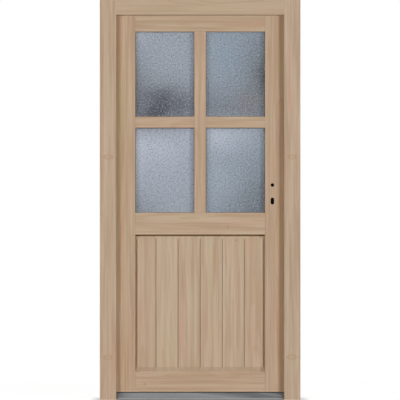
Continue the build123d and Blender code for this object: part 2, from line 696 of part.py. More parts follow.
# Leaf: rails between the stiles, each with its own rebates
underside_grooves = [
    (bottom_seal_y, BOTTOM_SEAL_GROOVE_WIDTH, BOTTOM_SEAL_GROOVE_DEPTH),
    (drip_groove_y, DRIP_GROOVE_WIDTH, DRIP_GROOVE_WIDTH / 2),
]
top_floor = glass_high + GLAZING_REBATE
lock_rail_high_floor = glass_low - GLAZING_REBATE
lock_rail_low_floor = panel_high + GLAZING_REBATE
bottom_floor = panel_low - GLAZING_REBATE
rail_tenons = [
    ((top_floor + leaf_top) / 2, leaf_top - top_floor - 2 * TENON_SHOULDER),
    (
        (lock_rail_low_floor + lock_rail_high_floor) / 2,
        lock_rail_high_floor - lock_rail_low_floor - 2 * TENON_SHOULDER,
    ),
    ((leaf_bottom + bottom_floor) / 2, bottom_floor - leaf_bottom - 2 * TENON_SHOULDER),
]
top_rail = make_rail(
    [
        (leaf_front, glass_high),
        (leaf_front, leaf_top),
        (lip_front, leaf_top),
        (lip_front, lip_top),
        (leaf_back, lip_top),
        (leaf_back, top_floor),
        (rebate_plane, top_floor),
        (rebate_plane, glass_high),
    ],
    [(leaf_front, glass_high), (leaf_front, leaf_top), (lip_front, lip_top), (leaf_back, lip_top)],
    *rail_tenons[0],
    [],
)
write(top_rail, "top_rail")

lock_rail = make_rail(
    [
        (leaf_front, panel_high),
        (leaf_front, glass_low),
        (rebate_plane, glass_low),
        (rebate_plane, lock_rail_high_floor),
        (leaf_back, lock_rail_high_floor),
        (leaf_back, lock_rail_low_floor),
        (rebate_plane, lock_rail_low_floor),
        (rebate_plane, panel_high),
    ],
    [(leaf_front, panel_high), (leaf_front, glass_low)],
    *rail_tenons[1],
    [],
)
write(lock_rail, "lock_rail")

bottom_rail = make_rail(
    [
        (leaf_front, leaf_bottom),
        (leaf_front, panel_low),
        (rebate_plane, panel_low),
        (rebate_plane, bottom_floor),
        (leaf_back, bottom_floor),
        (leaf_back, lip_bottom),
        (lip_front, lip_bottom),
        (lip_front, leaf_bottom),
    ],
    [
        (leaf_front, leaf_bottom),
        (leaf_front, panel_low),
        (leaf_back, lip_bottom),
        (lip_front, lip_bottom),
    ],
    *rail_tenons[2],
    underside_grooves,
)
write(bottom_rail, "bottom_rail")

# Stiles: holes for the hinge pegs on the left, the lock's mortise, the handle's hole and, from the
# outside as far as the mortise, the cylinder's slot on the right
left_stile_blank = make_stile(-1)
right_stile_blank = make_stile(1)

with BuildPart() as hinge_stile:
    add(left_stile_blank)
    with Locations(
        *[
            Plane(
                origin=(-lip_half, hinge_y, height + KNUCKLE_GAP + KNUCKLE_HEIGHT / 2),
                z_dir=(-1, 0, 0),
            )
            for height in hinge_heights
        ]
    ):
        Hole(PEG_RADIUS + PEG_FIT, PEG_LENGTH)
write(hinge_stile.part, "hinge_stile")

with BuildPart() as lock_stile:
    add(right_stile_blank)
    with BuildSketch(Plane.YZ.offset(leaf_half)):
        with Locations((lock_y, plate_z)):
            Rectangle(FACEPLATE_WIDTH + 2 * PLATE_SEAT, FACEPLATE_HEIGHT + 2 * PLATE_SEAT)
    extrude(amount=-PLATE_THICKNESS, mode=Mode.SUBTRACT)
    with BuildSketch(Plane.YZ.offset(leaf_half)):
        with Locations((lock_y, plate_z)):
            Rectangle(CASE_THICKNESS + 2 * MORTISE_AIR, case_high - case_low + 2 * MORTISE_AIR)
    extrude(amount=case_back - MORTISE_AIR - leaf_half, mode=Mode.SUBTRACT)
    with BuildSketch(outside_view(leaf_front)):
        with Locations((spindle_x, spindle_z)):
            Circle(HANDLE_HOLE_RADIUS)
    extrude(amount=leaf_front - leaf_back, mode=Mode.SUBTRACT)
    with BuildSketch(outside_view(leaf_front)):
        with Locations((spindle_x, slot_z)):
            SlotOverall(CYLINDER_SLOT_HEIGHT, CYLINDER_SLOT_WIDTH, rotation=90)
    extrude(amount=leaf_front - lock_y, mode=Mode.SUBTRACT)
write(lock_stile.part, "lock_stile")

# Glazing bars: a wide front between the panes, and a web that the beads lie against
bar_front_middle = (leaf_front + rebate_plane) / 2
bar_web_middle = (rebate_plane + leaf_back) / 2
bar_web_depth = leaf_back - rebate_plane
with BuildPart() as upright_glazing_bar:
    with BuildSketch(Plane.XY.offset(glass_low)) as upright_front:
        with Locations((0, bar_front_middle)):
            Rectangle(UPRIGHT_BAR_WIDTH, GLAZING_LIP)
        fillet(upright_front.vertices().group_by(Axis.Y)[0], LEAF_EASE)
    extrude(amount=glass_high - glass_low)
    with BuildSketch(Plane.XY.offset(lock_rail_high_floor)):
        with Locations((0, bar_web_middle)):
            Rectangle(UPRIGHT_BAR_WIDTH - 2 * GLAZING_REBATE, bar_web_depth)
    extrude(amount=top_floor - lock_rail_high_floor)
write(upright_glazing_bar.part, "upright_glazing_bar")

upright_web_half = UPRIGHT_BAR_WIDTH / 2 - GLAZING_REBATE
for side, bar_name in ((-1, "cross_glazing_bar_left"), (1, "cross_glazing_bar_right")):
    with BuildPart() as cross_bar:
        with BuildSketch(Plane.YZ.offset(side * UPRIGHT_BAR_WIDTH / 2)) as cross_front:
            with Locations((bar_front_middle, cross_bar_z)):
                Rectangle(GLAZING_LIP, CROSS_BAR_WIDTH)
            fillet(cross_front.vertices().group_by(Axis.X)[0], LEAF_EASE)
        extrude(amount=side * pane_width)
        with BuildSketch(Plane.YZ.offset(side * upright_web_half)):
            with Locations((bar_web_middle, cross_bar_z)):
                Rectangle(bar_web_depth, CROSS_BAR_WIDTH - 2 * GLAZING_REBATE)
        extrude(amount=side * (floor_half - upright_web_half))
    write(cross_bar.part, bar_name)

# Insulating glass: an outer pane, a spacer and an inner pane in each of the four openings
pane_places = {
    "upper_left": (-pane_x, upper_pane_z),
    "upper_right": (pane_x, upper_pane_z),
    "lower_left": (-pane_x, lower_pane_z),
    "lower_right": (pane_x, lower_pane_z),
}
unit_width = pane_width + 2 * (GLAZING_REBATE - GLASS_AIR)
unit_height = pane_height + 2 * (GLAZING_REBATE - GLASS_AIR)
for place_name, place in pane_places.items():
    for pane_name, pane_front in (
        ("outer_pane_", unit_front),
        ("inner_pane_", unit_back - PANE_THICKNESS),
    ):
        with BuildPart() as pane:
            with BuildSketch(outside_view(pane_front)):
                with Locations(place):
                    Rectangle(unit_width, unit_height)
            extrude(amount=-PANE_THICKNESS)
        write(pane.part, pane_name + place_name)
    write(make_beads(*place, pane_width, pane_height, bead_front), "glazing_beads_" + place_name)

with BuildPart() as glass_spacers:
    for place in pane_places.values():
        with BuildSketch(outside_view(unit_front + PANE_THICKNESS)):
            with Locations(place):
                Rectangle(unit_width, unit_height)
                Rectangle(
                    unit_width - 2 * SPACER_WIDTH, unit_height - 2 * SPACER_WIDTH, mode=Mode.SUBTRACT
                )
        extrude(amount=-PANE_GAP)
write(glass_spacers.part, "glass_spacers")

with BuildPart() as setting_blocks:
    for x, z in pane_places.values():
        floor_z = z - pane_height / 2 - GLAZING_REBATE
        with BuildSketch(Plane.XY.offset(floor_z)):
            with Locations((x, (unit_front + unit_back) / 2)):
                with GridLocations(2 * BLOCK_SPREAD_SHARE * pane_width, 0, 2, 1):
                    Rectangle(BLOCK_LENGTH, unit_back - unit_front)
        extrude(amount=GLASS_AIR)
write(setting_blocks.part, "setting_blocks")

# Board panel, standing on the floor of the bottom rail's rebate
panel_half = floor_half - GLASS_AIR
field_half = daylight_half - FIELD_SIDE_MARGIN
board_low = bottom_floor
board_high = lock_rail_low_floor - GLASS_AIR
for board_index in range(BOARD_COUNT):
    write(make_board(board_index), "panel_board_" + str(board_index + 1))
write(
    make_beads(0, panel_z, 2 * daylight_half, PANEL_OPENING_HEIGHT, bead_front),
    "panel_beads",
)

# Seals in front of and behind the panes and the panel
openings = [(*place, pane_width, pane_height) for place in pane_places.values()]
openings.append((0, panel_z, 2 * daylight_half, PANEL_OPENING_HEIGHT))
tape_spread = 2 * (GLAZING_TAPE_WIDTH - GLAZING_TAPE_SHOW)
for seal_name, seal_front in (("glazing_seals_outer", rebate_plane), ("glazing_seals_inner", unit_back)):
    with BuildPart() as glazing_seals:
        for x, z, width, height in openings:
            with BuildSketch(outside_view(seal_front)):
                with Locations((x, z)):
                    Rectangle(width + tape_spread, height + tape_spread)
                    Rectangle(
                        width - 2 * GLAZING_TAPE_SHOW,
                        height - 2 * GLAZING_TAPE_SHOW,
                        mode=Mode.SUBTRACT,
                    )
            extrude(amount=-GLAZING_TAPE)
    write(glazing_seals.part, seal_name)

# Seal under the leaf, its root in the groove of the bottom rail and the stiles
bottom_seal_root_width = BOTTOM_SEAL_GROOVE_WIDTH - 2 * GASKET_FIT
bottom_seal_root_height = BOTTOM_SEAL_GROOVE_DEPTH - GASKET_FIT
bottom_seal_drop = BOTTOM_AIR - SEAL_TOUCH
with BuildPart() as bottom_seal:
    with BuildSketch(Plane.YZ) as bottom_seal_profile:
        with Locations((bottom_seal_y, leaf_bottom - bottom_seal_drop / 2)):
            Rectangle(BOTTOM_SEAL_WIDTH, bottom_seal_drop)
        fillet(bottom_seal_profile.vertices().group_by(Axis.Y)[0], GASKET_BULB_ROUND)
        with Locations((bottom_seal_y, leaf_bottom + bottom_seal_root_height / 2)):
            Rectangle(bottom_seal_root_width, bottom_seal_root_height)
    extrude(amount=leaf_half - BOTTOM_SEAL_END, both=True)
write(bottom_seal.part, "bottom_seal")

# Lock case: a sheet box, open towards the faceplate, with the hub's holes and the cylinder's slot
with BuildPart() as lock_case:
    with BuildSketch(Plane.YZ.offset(case_back)):
        with Locations((lock_y, plate_z)):
            Rectangle(CASE_THICKNESS, case_high - case_low)
    extrude(amount=case_front - case_back)
    offset(amount=-CASE_WALL, openings=lock_case.faces().sort_by(Axis.X)[-1])
    with BuildSketch(outside_view(lock_y - CASE_THICKNESS / 2)):
        with Locations((spindle_x, spindle_z)):
            Circle(HUB_RADIUS + HUB_FIT)
        with Locations((spindle_x, slot_z)):
            SlotOverall(CYLINDER_SLOT_HEIGHT, CYLINDER_SLOT_WIDTH, rotation=90)
    extrude(amount=-CASE_THICKNESS, mode=Mode.SUBTRACT)
write(lock_case.part, "lock_case")

faceplate_screw_places = [
    (lock_y, plate_z + sign * (FACEPLATE_HEIGHT / 2 - PLATE_SCREW_INSET)) for sign in (-1, 1)
]
with BuildPart() as lock_faceplate:
    with BuildSketch(Plane.YZ.offset(case_front)):
        with Locations((lock_y, plate_z)):
            Rectangle(FACEPLATE_WIDTH, FACEPLATE_HEIGHT)
        with Locations((lock_y, latch_z)):
            Rectangle(LATCH_THICKNESS + 2 * BOLT_AIR, LATCH_HEIGHT + 2 * BOLT_AIR, mode=Mode.SUBTRACT)
        with Locations((lock_y, dead_bolt_z)):
            Rectangle(
                DEAD_BOLT_THICKNESS + 2 * BOLT_AIR, DEAD_BOLT_HEIGHT + 2 * BOLT_AIR, mode=Mode.SUBTRACT
            )
    extrude(amount=PLATE_THICKNESS)
    with Locations(
        *[Plane(origin=(leaf_half, y, z), z_dir=(1, 0, 0)) for y, z in faceplate_screw_places]
    ):
        CounterSinkHole(SCREW_RADIUS, SCREW_HEAD_RADIUS, PLATE_THICKNESS, SCREW_HEAD_ANGLE)
write(lock_faceplate.part, "lock_faceplate")

# Follower: a hub with a square socket from each side and a lever, turned as when the handle is pressed
tip_x = spindle_x - LATCH_THROW / 2
tip_z = spindle_z + lever_radius * cos(radians(lever_tilt))
with BuildPart() as follower:
    with BuildSketch(outside_view(lock_y - CASE_THICKNESS / 2)):
        with Locations((spindle_x, spindle_z)):
            Circle(HUB_RADIUS)
    extrude(amount=-CASE_THICKNESS)
    with BuildSketch(outside_view(lock_y - LEVER_THICKNESS / 2)):
        with Locations(((spindle_x + tip_x) / 2, (spindle_z + tip_z) / 2)):
            SlotCenterToCenter(lever_radius, 2 * LEVER_TIP_RADIUS, rotation=90 + lever_tilt)
    extrude(amount=-LEVER_THICKNESS)
    for side in (-1, 1):
        with BuildSketch(outside_view(lock_y + side * CASE_THICKNESS / 2)):
            with Locations((spindle_x, spindle_z)):
                Rectangle(SPINDLE_SQUARE, SPINDLE_SQUARE, rotation=LEVER_SWING)
        extrude(amount=side * (CASE_THICKNESS - FOLLOWER_WEB) / 2, mode=Mode.SUBTRACT)
write(follower.part, "follower")

# Latch bolt, drawn back flush: a bevelled head, a tail over the follower and a lug for its lever
lug_front = tip_x - LEVER_TIP_RADIUS - LEVER_TOUCH
lug_foot = tip_z + LUG_FOOT
latch_head_back = leaf_half - LATCH_HEAD
with BuildPart() as latch_bolt:
    with BuildSketch(Plane.XY.offset(latch_z - LATCH_HEIGHT / 2)):
        with BuildLine():
            Polyline(
                (latch_head_back, lock_y - LATCH_THICKNESS / 2),
                (leaf_half - LATCH_THROW, lock_y - LATCH_THICKNESS / 2),
                (leaf_half, lock_y + LATCH_THICKNESS / 2 - LATCH_NOSE),
                (leaf_half, lock_y + LATCH_THICKNESS / 2),
                (latch_head_back, lock_y + LATCH_THICKNESS / 2),
                close=True,
            )
        make_face()
    extrude(amount=LATCH_HEIGHT)
    with BuildSketch(outside_view(lock_y - TAIL_THICKNESS / 2)):
        with BuildLine():
            Polyline(
                (latch_head_back, latch_z + TAIL_HEIGHT / 2),
                (lug_front - LUG_LENGTH, latch_z + TAIL_HEIGHT / 2),
                (lug_front - LUG_LENGTH, lug_foot),
                (lug_front, lug_foot),
                (lug_front, latch_z - TAIL_HEIGHT / 2),
                (latch_head_back, latch_z - TAIL_HEIGHT / 2),
                close=True,
            )
        make_face()
    extrude(amount=-TAIL_THICKNESS)
write(latch_bolt.part, "latch_bolt")

# Dead bolt, drawn back flush
with BuildPart() as dead_bolt:
    with BuildSketch(Plane.YZ.offset(leaf_half - DEAD_BOLT_LENGTH)):
        with Locations((lock_y, dead_bolt_z)):
            Rectangle(DEAD_BOLT_THICKNESS, DEAD_BOLT_HEIGHT)
    extrude(amount=DEAD_BOLT_LENGTH)
    chamfer(dead_bolt.faces().sort_by(Axis.X)[-1].edges(), BOLT_CHAMFER)
write(dead_bolt.part, "dead_bolt")
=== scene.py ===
import math
import random
from collections import namedtuple

import bpy
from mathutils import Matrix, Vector


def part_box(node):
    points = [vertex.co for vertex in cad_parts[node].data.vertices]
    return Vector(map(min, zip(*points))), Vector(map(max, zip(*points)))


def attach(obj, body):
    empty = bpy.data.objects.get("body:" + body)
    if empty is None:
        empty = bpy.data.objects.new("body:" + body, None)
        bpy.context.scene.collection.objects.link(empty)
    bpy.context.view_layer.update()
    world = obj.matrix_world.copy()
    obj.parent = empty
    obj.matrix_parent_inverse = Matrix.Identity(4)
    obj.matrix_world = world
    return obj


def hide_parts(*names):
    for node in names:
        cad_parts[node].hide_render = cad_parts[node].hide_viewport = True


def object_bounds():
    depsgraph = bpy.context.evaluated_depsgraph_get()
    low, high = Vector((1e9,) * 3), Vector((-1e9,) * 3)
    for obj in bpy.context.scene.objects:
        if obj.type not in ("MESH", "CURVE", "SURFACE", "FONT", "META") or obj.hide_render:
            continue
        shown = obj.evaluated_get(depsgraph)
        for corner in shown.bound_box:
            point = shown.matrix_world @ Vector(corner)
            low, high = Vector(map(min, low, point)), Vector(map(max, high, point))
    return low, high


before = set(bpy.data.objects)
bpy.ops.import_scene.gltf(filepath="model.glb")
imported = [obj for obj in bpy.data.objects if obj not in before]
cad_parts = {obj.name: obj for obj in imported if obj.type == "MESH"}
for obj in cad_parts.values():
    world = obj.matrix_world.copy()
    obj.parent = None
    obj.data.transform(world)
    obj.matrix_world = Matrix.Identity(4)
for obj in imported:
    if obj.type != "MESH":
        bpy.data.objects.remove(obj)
cad_low, cad_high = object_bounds()


# Places that the finishes follow, in metres. Left and right of the middle they are the same.

stile_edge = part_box("lock_stile")[0].x
bar_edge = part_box("upright_glazing_bar")[1].x
jamb_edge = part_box("lock_jamb")[0].x
head_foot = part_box("head")[0].z
upper_pane_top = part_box("top_rail")[0].z
lower_pane_top, upper_pane_foot = [corner.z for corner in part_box("cross_glazing_bar_right")]
panel_top, lower_pane_foot = [corner.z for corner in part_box("lock_rail")]
panel_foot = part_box("bottom_rail")[1].z
case_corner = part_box("lock_case")[0]
ramp_low, ramp_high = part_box("threshold_outer_rail")


# Wires and sheets: node trees written as plain arithmetic.

class Wire:
    """One node output, which takes part in sums like a number."""

    def __init__(self, sheet, socket):
        self.sheet = sheet
        self.socket = socket

    def __add__(self, other):
        return self.sheet.maths("ADD", self, other)

    __radd__ = __add__

    def __sub__(self, other):
        return self.sheet.maths("SUBTRACT", self, other)

    def __rsub__(self, other):
        return self.sheet.maths("SUBTRACT", other, self)

    def __mul__(self, other):
        return self.sheet.maths("MULTIPLY", self, other)

    __rmul__ = __mul__

    def __truediv__(self, other):
        return self.sheet.maths("DIVIDE", self, other)

    def __rtruediv__(self, other):
        return self.sheet.maths("DIVIDE", other, self)

    def __pow__(self, power):
        return self.sheet.maths("POWER", self, power)

    def __mod__(self, step):
        return self.sheet.maths("FLOORED_MODULO", self, step)

    def __gt__(self, other):
        return self.sheet.maths("GREATER_THAN", self, other)

    def __lt__(self, other):
        return self.sheet.maths("LESS_THAN", self, other)

    def __abs__(self):
        return self.sheet.maths("ABSOLUTE", self)


SOFT, MEDIUM, FINE = 1.0, 2.0, 3.0      # detail of a mottle
EVEN, LIVELY, CRISP = 0.5, 0.55, 0.6    # how strongly its detail shows


class Sheet:
    """A node tree that is being filled, for a finish or for a shape."""

    def __init__(self, tree):
        self.tree = tree

    @staticmethod
    def pick(sockets, key):
        for socket in sockets:
            if socket.identifier == key:
                return socket
        return sockets[key]

    def node(self, kind, settings=None, sockets=None, output=0):
        made = self.tree.nodes.new(kind)
        for name, value in (settings or {}).items():
            if name == "stops":
                ramp = made.color_ramp
                while len(ramp.elements) < len(value):
                    ramp.elements.new(0.5)
                for element, (place, colour) in zip(ramp.elements, value):
                    element.position = place
                    element.color = colour
            else:
                setattr(made, name, value)
        for key, value in (sockets or {}).items():
            socket = self.pick(made.inputs, key)
            for each in value if isinstance(value, list) else [value]:
                if isinstance(each, Wire):
                    self.tree.links.new(each.socket, socket)
                else:
                    socket.default_value = each
        return Wire(self, self.pick(made.outputs, output)) if len(made.outputs) else made

    def maths(self, operation, *values):
        return self.node("ShaderNodeMath", {"operation": operation}, dict(enumerate(values)))

    def vectors(self, operation, *values):
        return self.node("ShaderNodeVectorMath", {"operation": operation}, dict(enumerate(values)), "Vector")

    def apart(self, vector):
        made = self.node("ShaderNodeSeparateXYZ", {}, {"Vector": vector}, "X").socket.node
        return [Wire(self, made.outputs[axis]) for axis in "XYZ"]

    def joined(self, x, y, z):
        return self.node("ShaderNodeCombineXYZ", {}, {"X": x, "Y": y, "Z": z})

    def mixed(self, amount, first, second):
        return self.node("ShaderNodeMix", {"data_type": "RGBA", "clamp_factor": True},
                         {"Factor_Float": amount, "A_Color": first, "B_Color": second}, "Result_Color")

    def chosen(self, amount, first, second):
        return self.node("ShaderNodeMix", {"data_type": "VECTOR", "factor_mode": "UNIFORM"},
                         {"Factor_Float": amount, "A_Vector": first, "B_Vector": second}, "Result_Vector")

    def eased(self, value, low, high):
        return self.node("ShaderNodeMapRange", {"interpolation_type": "SMOOTHSTEP", "clamp": True},
                         {"Value": value, "From Min": low, "From Max": high, "To Min": 0.0, "To Max": 1.0})

    def mottle(self, place, scale, detail=MEDIUM, roughness=EVEN):
        return self.node("ShaderNodeTexNoise", {"noise_dimensions": "3D"},
                         {"Vector": place, "Scale": scale, "Detail": detail, "Roughness": roughness}, "Fac")

    def pebbles(self, place, scale, smoothness):
        return self.node("ShaderNodeTexVoronoi", {"feature": "SMOOTH_F1", "voronoi_dimensions": "3D"},
                         {"Vector": place, "Scale": scale, "Smoothness": smoothness}, "Distance")


def shade(red, green, blue):
    """A colour as it looks on a screen, 0 to 255, as the light that it stands for."""
    def light(value):
        value = value / 255
        return value / 12.92 if value <= 0.04045 else ((value + 0.055) / 1.055) ** 2.4
    return (light(red), light(green), light(blue), 1.0)


def tinted(colour, red, green, blue):
    """A colour with shares of its red, green and blue."""
    return (min(colour[0] * red, 1.0), min(colour[1] * green, 1.0), min(colour[2] * blue, 1.0), 1.0)


class Finish(Sheet):
    """A material whose shader reads the door's own coordinates."""

    def __init__(self, name, **constants):
        self.material = bpy.data.materials.new(name)
        self.material.use_nodes = True
        super().__init__(self.material.node_tree)
        self.tree.nodes.clear()
        self.shader = self.node("ShaderNodeBsdfPrincipled", {}, {}).socket.node
        for socket, value in constants.items():
            self.shader.inputs[socket.replace("_", " ")].default_value = value
        self.node("ShaderNodeOutputMaterial", {}, {"Surface": Wire(self, self.shader.outputs[0])})
        self.place = self.node("ShaderNodeTexCoord", {}, {}, "Object")

    def turned(self, rotation, location):
        return self.node("ShaderNodeMapping", {"vector_type": "POINT"},
                         {"Vector": self.place, "Rotation": rotation, "Location": location})

    def drawn_out(self, place, changes, detail=MEDIUM, roughness=EVEN):
        """Mottle with its own number of changes a metre along each axis."""
        return self.mottle(self.vectors("MULTIPLY", place, changes), 1.0, detail, roughness)

    def feed(self, **values):
        for socket, value in values.items():
            self.tree.links.new(value.socket, self.shader.inputs[socket.replace("_", " ")])

    def relief(self, height, strength, distance):
        self.feed(Normal=self.node("ShaderNodeBump", {}, {"Height": height, "Strength": strength,
                                                          "Distance": distance}, "Normal"))


# Timber: the growth of the tree

MOTTLE_MIDDLE = 0.5          # mottle lies about evenly to both sides of this
RING_WIDTH = 0.0036          # one year's growth
PITH_ASIDE = 0.06            # how far the pith may lie to either side of a piece's middle
PITH_BEHIND = 0.06, 0.13     # how far it may lie behind the middle, from and to
CUT_STEP = 3.7               # how far apart along the grain two pieces were cut
SWAY_REACH, DRIFT_REACH = 0.06, 0.03    # how far the rings wander across and into the wood
RING_DRIFT = 1.5             # how many rings they wander outwards
LATEWOOD_RISE, LATEWOOD_FALL = (0.45, 0.92), (0.94, 1.0)    # shares of a year

# Changes a metre across the grain, into the wood and along the grain.
SWAY_CHANGES = 1.5, 1.5, 0.9
DRIFT_CHANGES = 9.0, 9.0, 1.6
FIELD_CHANGES = 7.0, 7.0, 1.6
BLUSH_CHANGES = 34.0, 20.0, 2.0
STREAK_CHANGES = 75.0, 40.0, 2.4
FIBRE_CHANGES = 900.0, 900.0, 16.0

# From where a pattern shows, and where it shows in full.
STREAK_RANGE, BLUSH_RANGE = (0.28, 0.72), (0.55, 0.75)
FIELD_RANGE, FIBRE_RANGE = (0.4, 0.8), (0.5, 0.8)
END_GRAIN = 0.8, 0.97        # how squarely a face looks along the grain
HALO_RANGE, HEART_RANGE, OUTLINE_RANGE = (0.7, 1.8), (0.3, 1.1), (0.05, 0.4)    # in sizes of the knot
KNOT_RAGGEDNESS = 0.5

# Timber: its tints, as shares of its own red, green and blue

DARK_STREAK, PALE_STREAK = (0.91, 0.88, 0.84), (1.08, 1.10, 1.12)
LATEWOOD_TINT, KNOT_TINT = (0.80, 0.66, 0.52), (0.66, 0.58, 0.48)
END_GRAIN_TINT = 0.62, 0.52, 0.42
LATEWOOD_LEAST, LATEWOOD_MORE = 0.1, 0.22    # how strongly latewood shows, and how much more in some fields
END_LEAST, END_MORE = 0.45, 0.4              # the same for end grain, and how much more in latewood

Mark = namedtuple("Mark", "strength tint")
PINK_BLUSH = Mark(0.7, (1.04, 0.92, 0.90))
GREEN_BLUSH = Mark(0.7, (0.98, 1.07, 0.99))
PALE_FIELD = Mark(0.35, (1.05, 1.05, 1.03))
DARK_FIBRE = Mark(0.14, (0.78, 0.72, 0.66))
KNOT_HALO = Mark(0.4, (1.05, 0.94, 0.84))
# Painted light and painted shade, given as marks like the tints above.
PAINTED_LIGHT_LINE = Mark(0.42, (1.28, 1.28, 1.28))
BEVEL_PAINTED_SHADE = Mark(0.5, (0.82, 0.81, 0.80))
VEE_PAINTED_SHADE = Mark(0.6, (0.72, 0.69, 0.66))
PANEL_PAINTED_LIGHT = Mark(0.5, (1.85, 1.85, 1.85))
PANEL_PAINTED_SHADE = Mark(0.65, (0.85, 0.80, 0.72))
GROOVE_PAINTED_SHADE = Mark(0.75, (0.27, 0.17, 0.04))
SLOT_PAINTED_SHADE = Mark(0.95, (0.06, 0.05, 0.05))

TIMBER_GLOSS = 0.08
TIMBER_ROUGHNESS, FIBRE_ROUGHENS, LATEWOOD_SMOOTHS, HEART_SMOOTHS = 0.56, 0.12, 0.08, 0.1
FIBRE_RISES, LATEWOOD_SINKS = 0.5, 0.4
TIMBER_RELIEF = 0.18, 0.0005    # strength and depth

# Timber: painted light and shade at places on the door

# Painted light lines: pale lines that stand in for highlights and for light inside shadow.
LIGHT_LINE_WIDTH = 0.002, 0.004      # half the width of a pale line along an arris, to where it fades and ends
LINE_OVER_RAMP, LINE_UNDER_HEAD, LINE_OVER_PANEL = 0.0071, 0.003, 0.0053
LEAF_FOOT_LINE = ramp_high.z + LINE_OVER_RAMP
LEAF_TOP_LINE = head_foot - LINE_UNDER_HEAD
LOCK_RAIL_LINE = panel_top + LINE_OVER_PANEL
# Heights of the painted light lines: highlights along the lower arrises of the leaf's foot and the lock rail,
# and light painted into the head's shadow at the leaf's top.
PAINTED_LIGHT_LINES = {
    "top_rail": (LEAF_TOP_LINE,),
    "lock_rail": (LOCK_RAIL_LINE,),
    "bottom_rail": (LEAF_FOOT_LINE,),
    "hinge_stile": (LEAF_FOOT_LINE, LEAF_TOP_LINE),
    "lock_stile": (LEAF_FOOT_LINE, LEAF_TOP_LINE),
}
# Painted shadow of the jambs: the strips of the leaf's face beside the jambs get a darker, browner tone.
PAINTED_JAMB_SHADOW_TINTS = {"hinge_stile": (0.985, 0.935, 0.88), "lock_stile": (0.93, 0.865, 0.77)}
PAINTED_JAMB_SHADOW_WIDTHS = 0.045, 0.025    # from the jamb to where the tone starts and to where it is full
PAINTED_JAMB_SHADOW_RANGE = [jamb_edge - width for width in PAINTED_JAMB_SHADOW_WIDTHS]
PAINTED_JAMB_SHADOW_DEPTH = -0.010           # the strips lie in front of this y
# Painted light and shade on the boards: paler beside the stiles, where the stiles' shadow falls, and darker
# right where they meet them.
MARGIN_WIDTHS, SEAM_WIDTHS = (0.0165, 0.0135), (0.0065, 0.0025)
MARGIN_RANGE = [stile_edge - width for width in MARGIN_WIDTHS]
SEAM_RANGE = [stile_edge - width for width in SEAM_WIDTHS]
# Painted shade on board faces that turn down or aside, by how far they turn.
BEVEL_FACING, VEE_FACING = (0.02, 0.08), (0.3, 0.6)    # how far a face turns down or aside
# The shadow groove in the boards' tops, whose inside gets painted shade: the y of its front and back, and how
# far down it reaches.
GROOVE_FRONT, GROOVE_BACK, GROOVE_REACH = 0.0008, 0.012, 0.010
GROOVE_FOOT = panel_top - GROOVE_REACH
# Painted shade inside the lock's cylinder slot: its middle from the case's lower corner, its reach, its y.
SLOT_FROM_CASE_X, SLOT_FROM_CASE_Z = 0.015, 0.027
SLOT_X, SLOT_Z = case_corner.x + SLOT_FROM_CASE_X, case_corner.z + SLOT_FROM_CASE_Z
SLOT_REACH_X, SLOT_REACH_Z = 0.012, 0.020
SLOT_FRONT, SLOT_BACK = -0.014, 0.030

Knot = namedtuple("Knot", "x z half_width half_height heart outline")


def pin_knot(x, z, half_width=0.008, half_height=0.011):
    """A small, faint knot with a brown heart."""
    return Knot(x, z, half_width, half_height, heart=0.5, outline=0.0)


def branch_knot(x, z, half_width=0.020, half_height=0.010):
    """A branch that the saw cut along its length: a warm oval with a thin brown outline."""
    return Knot(x, z, half_width, half_height, heart=0.0, outline=0.4)


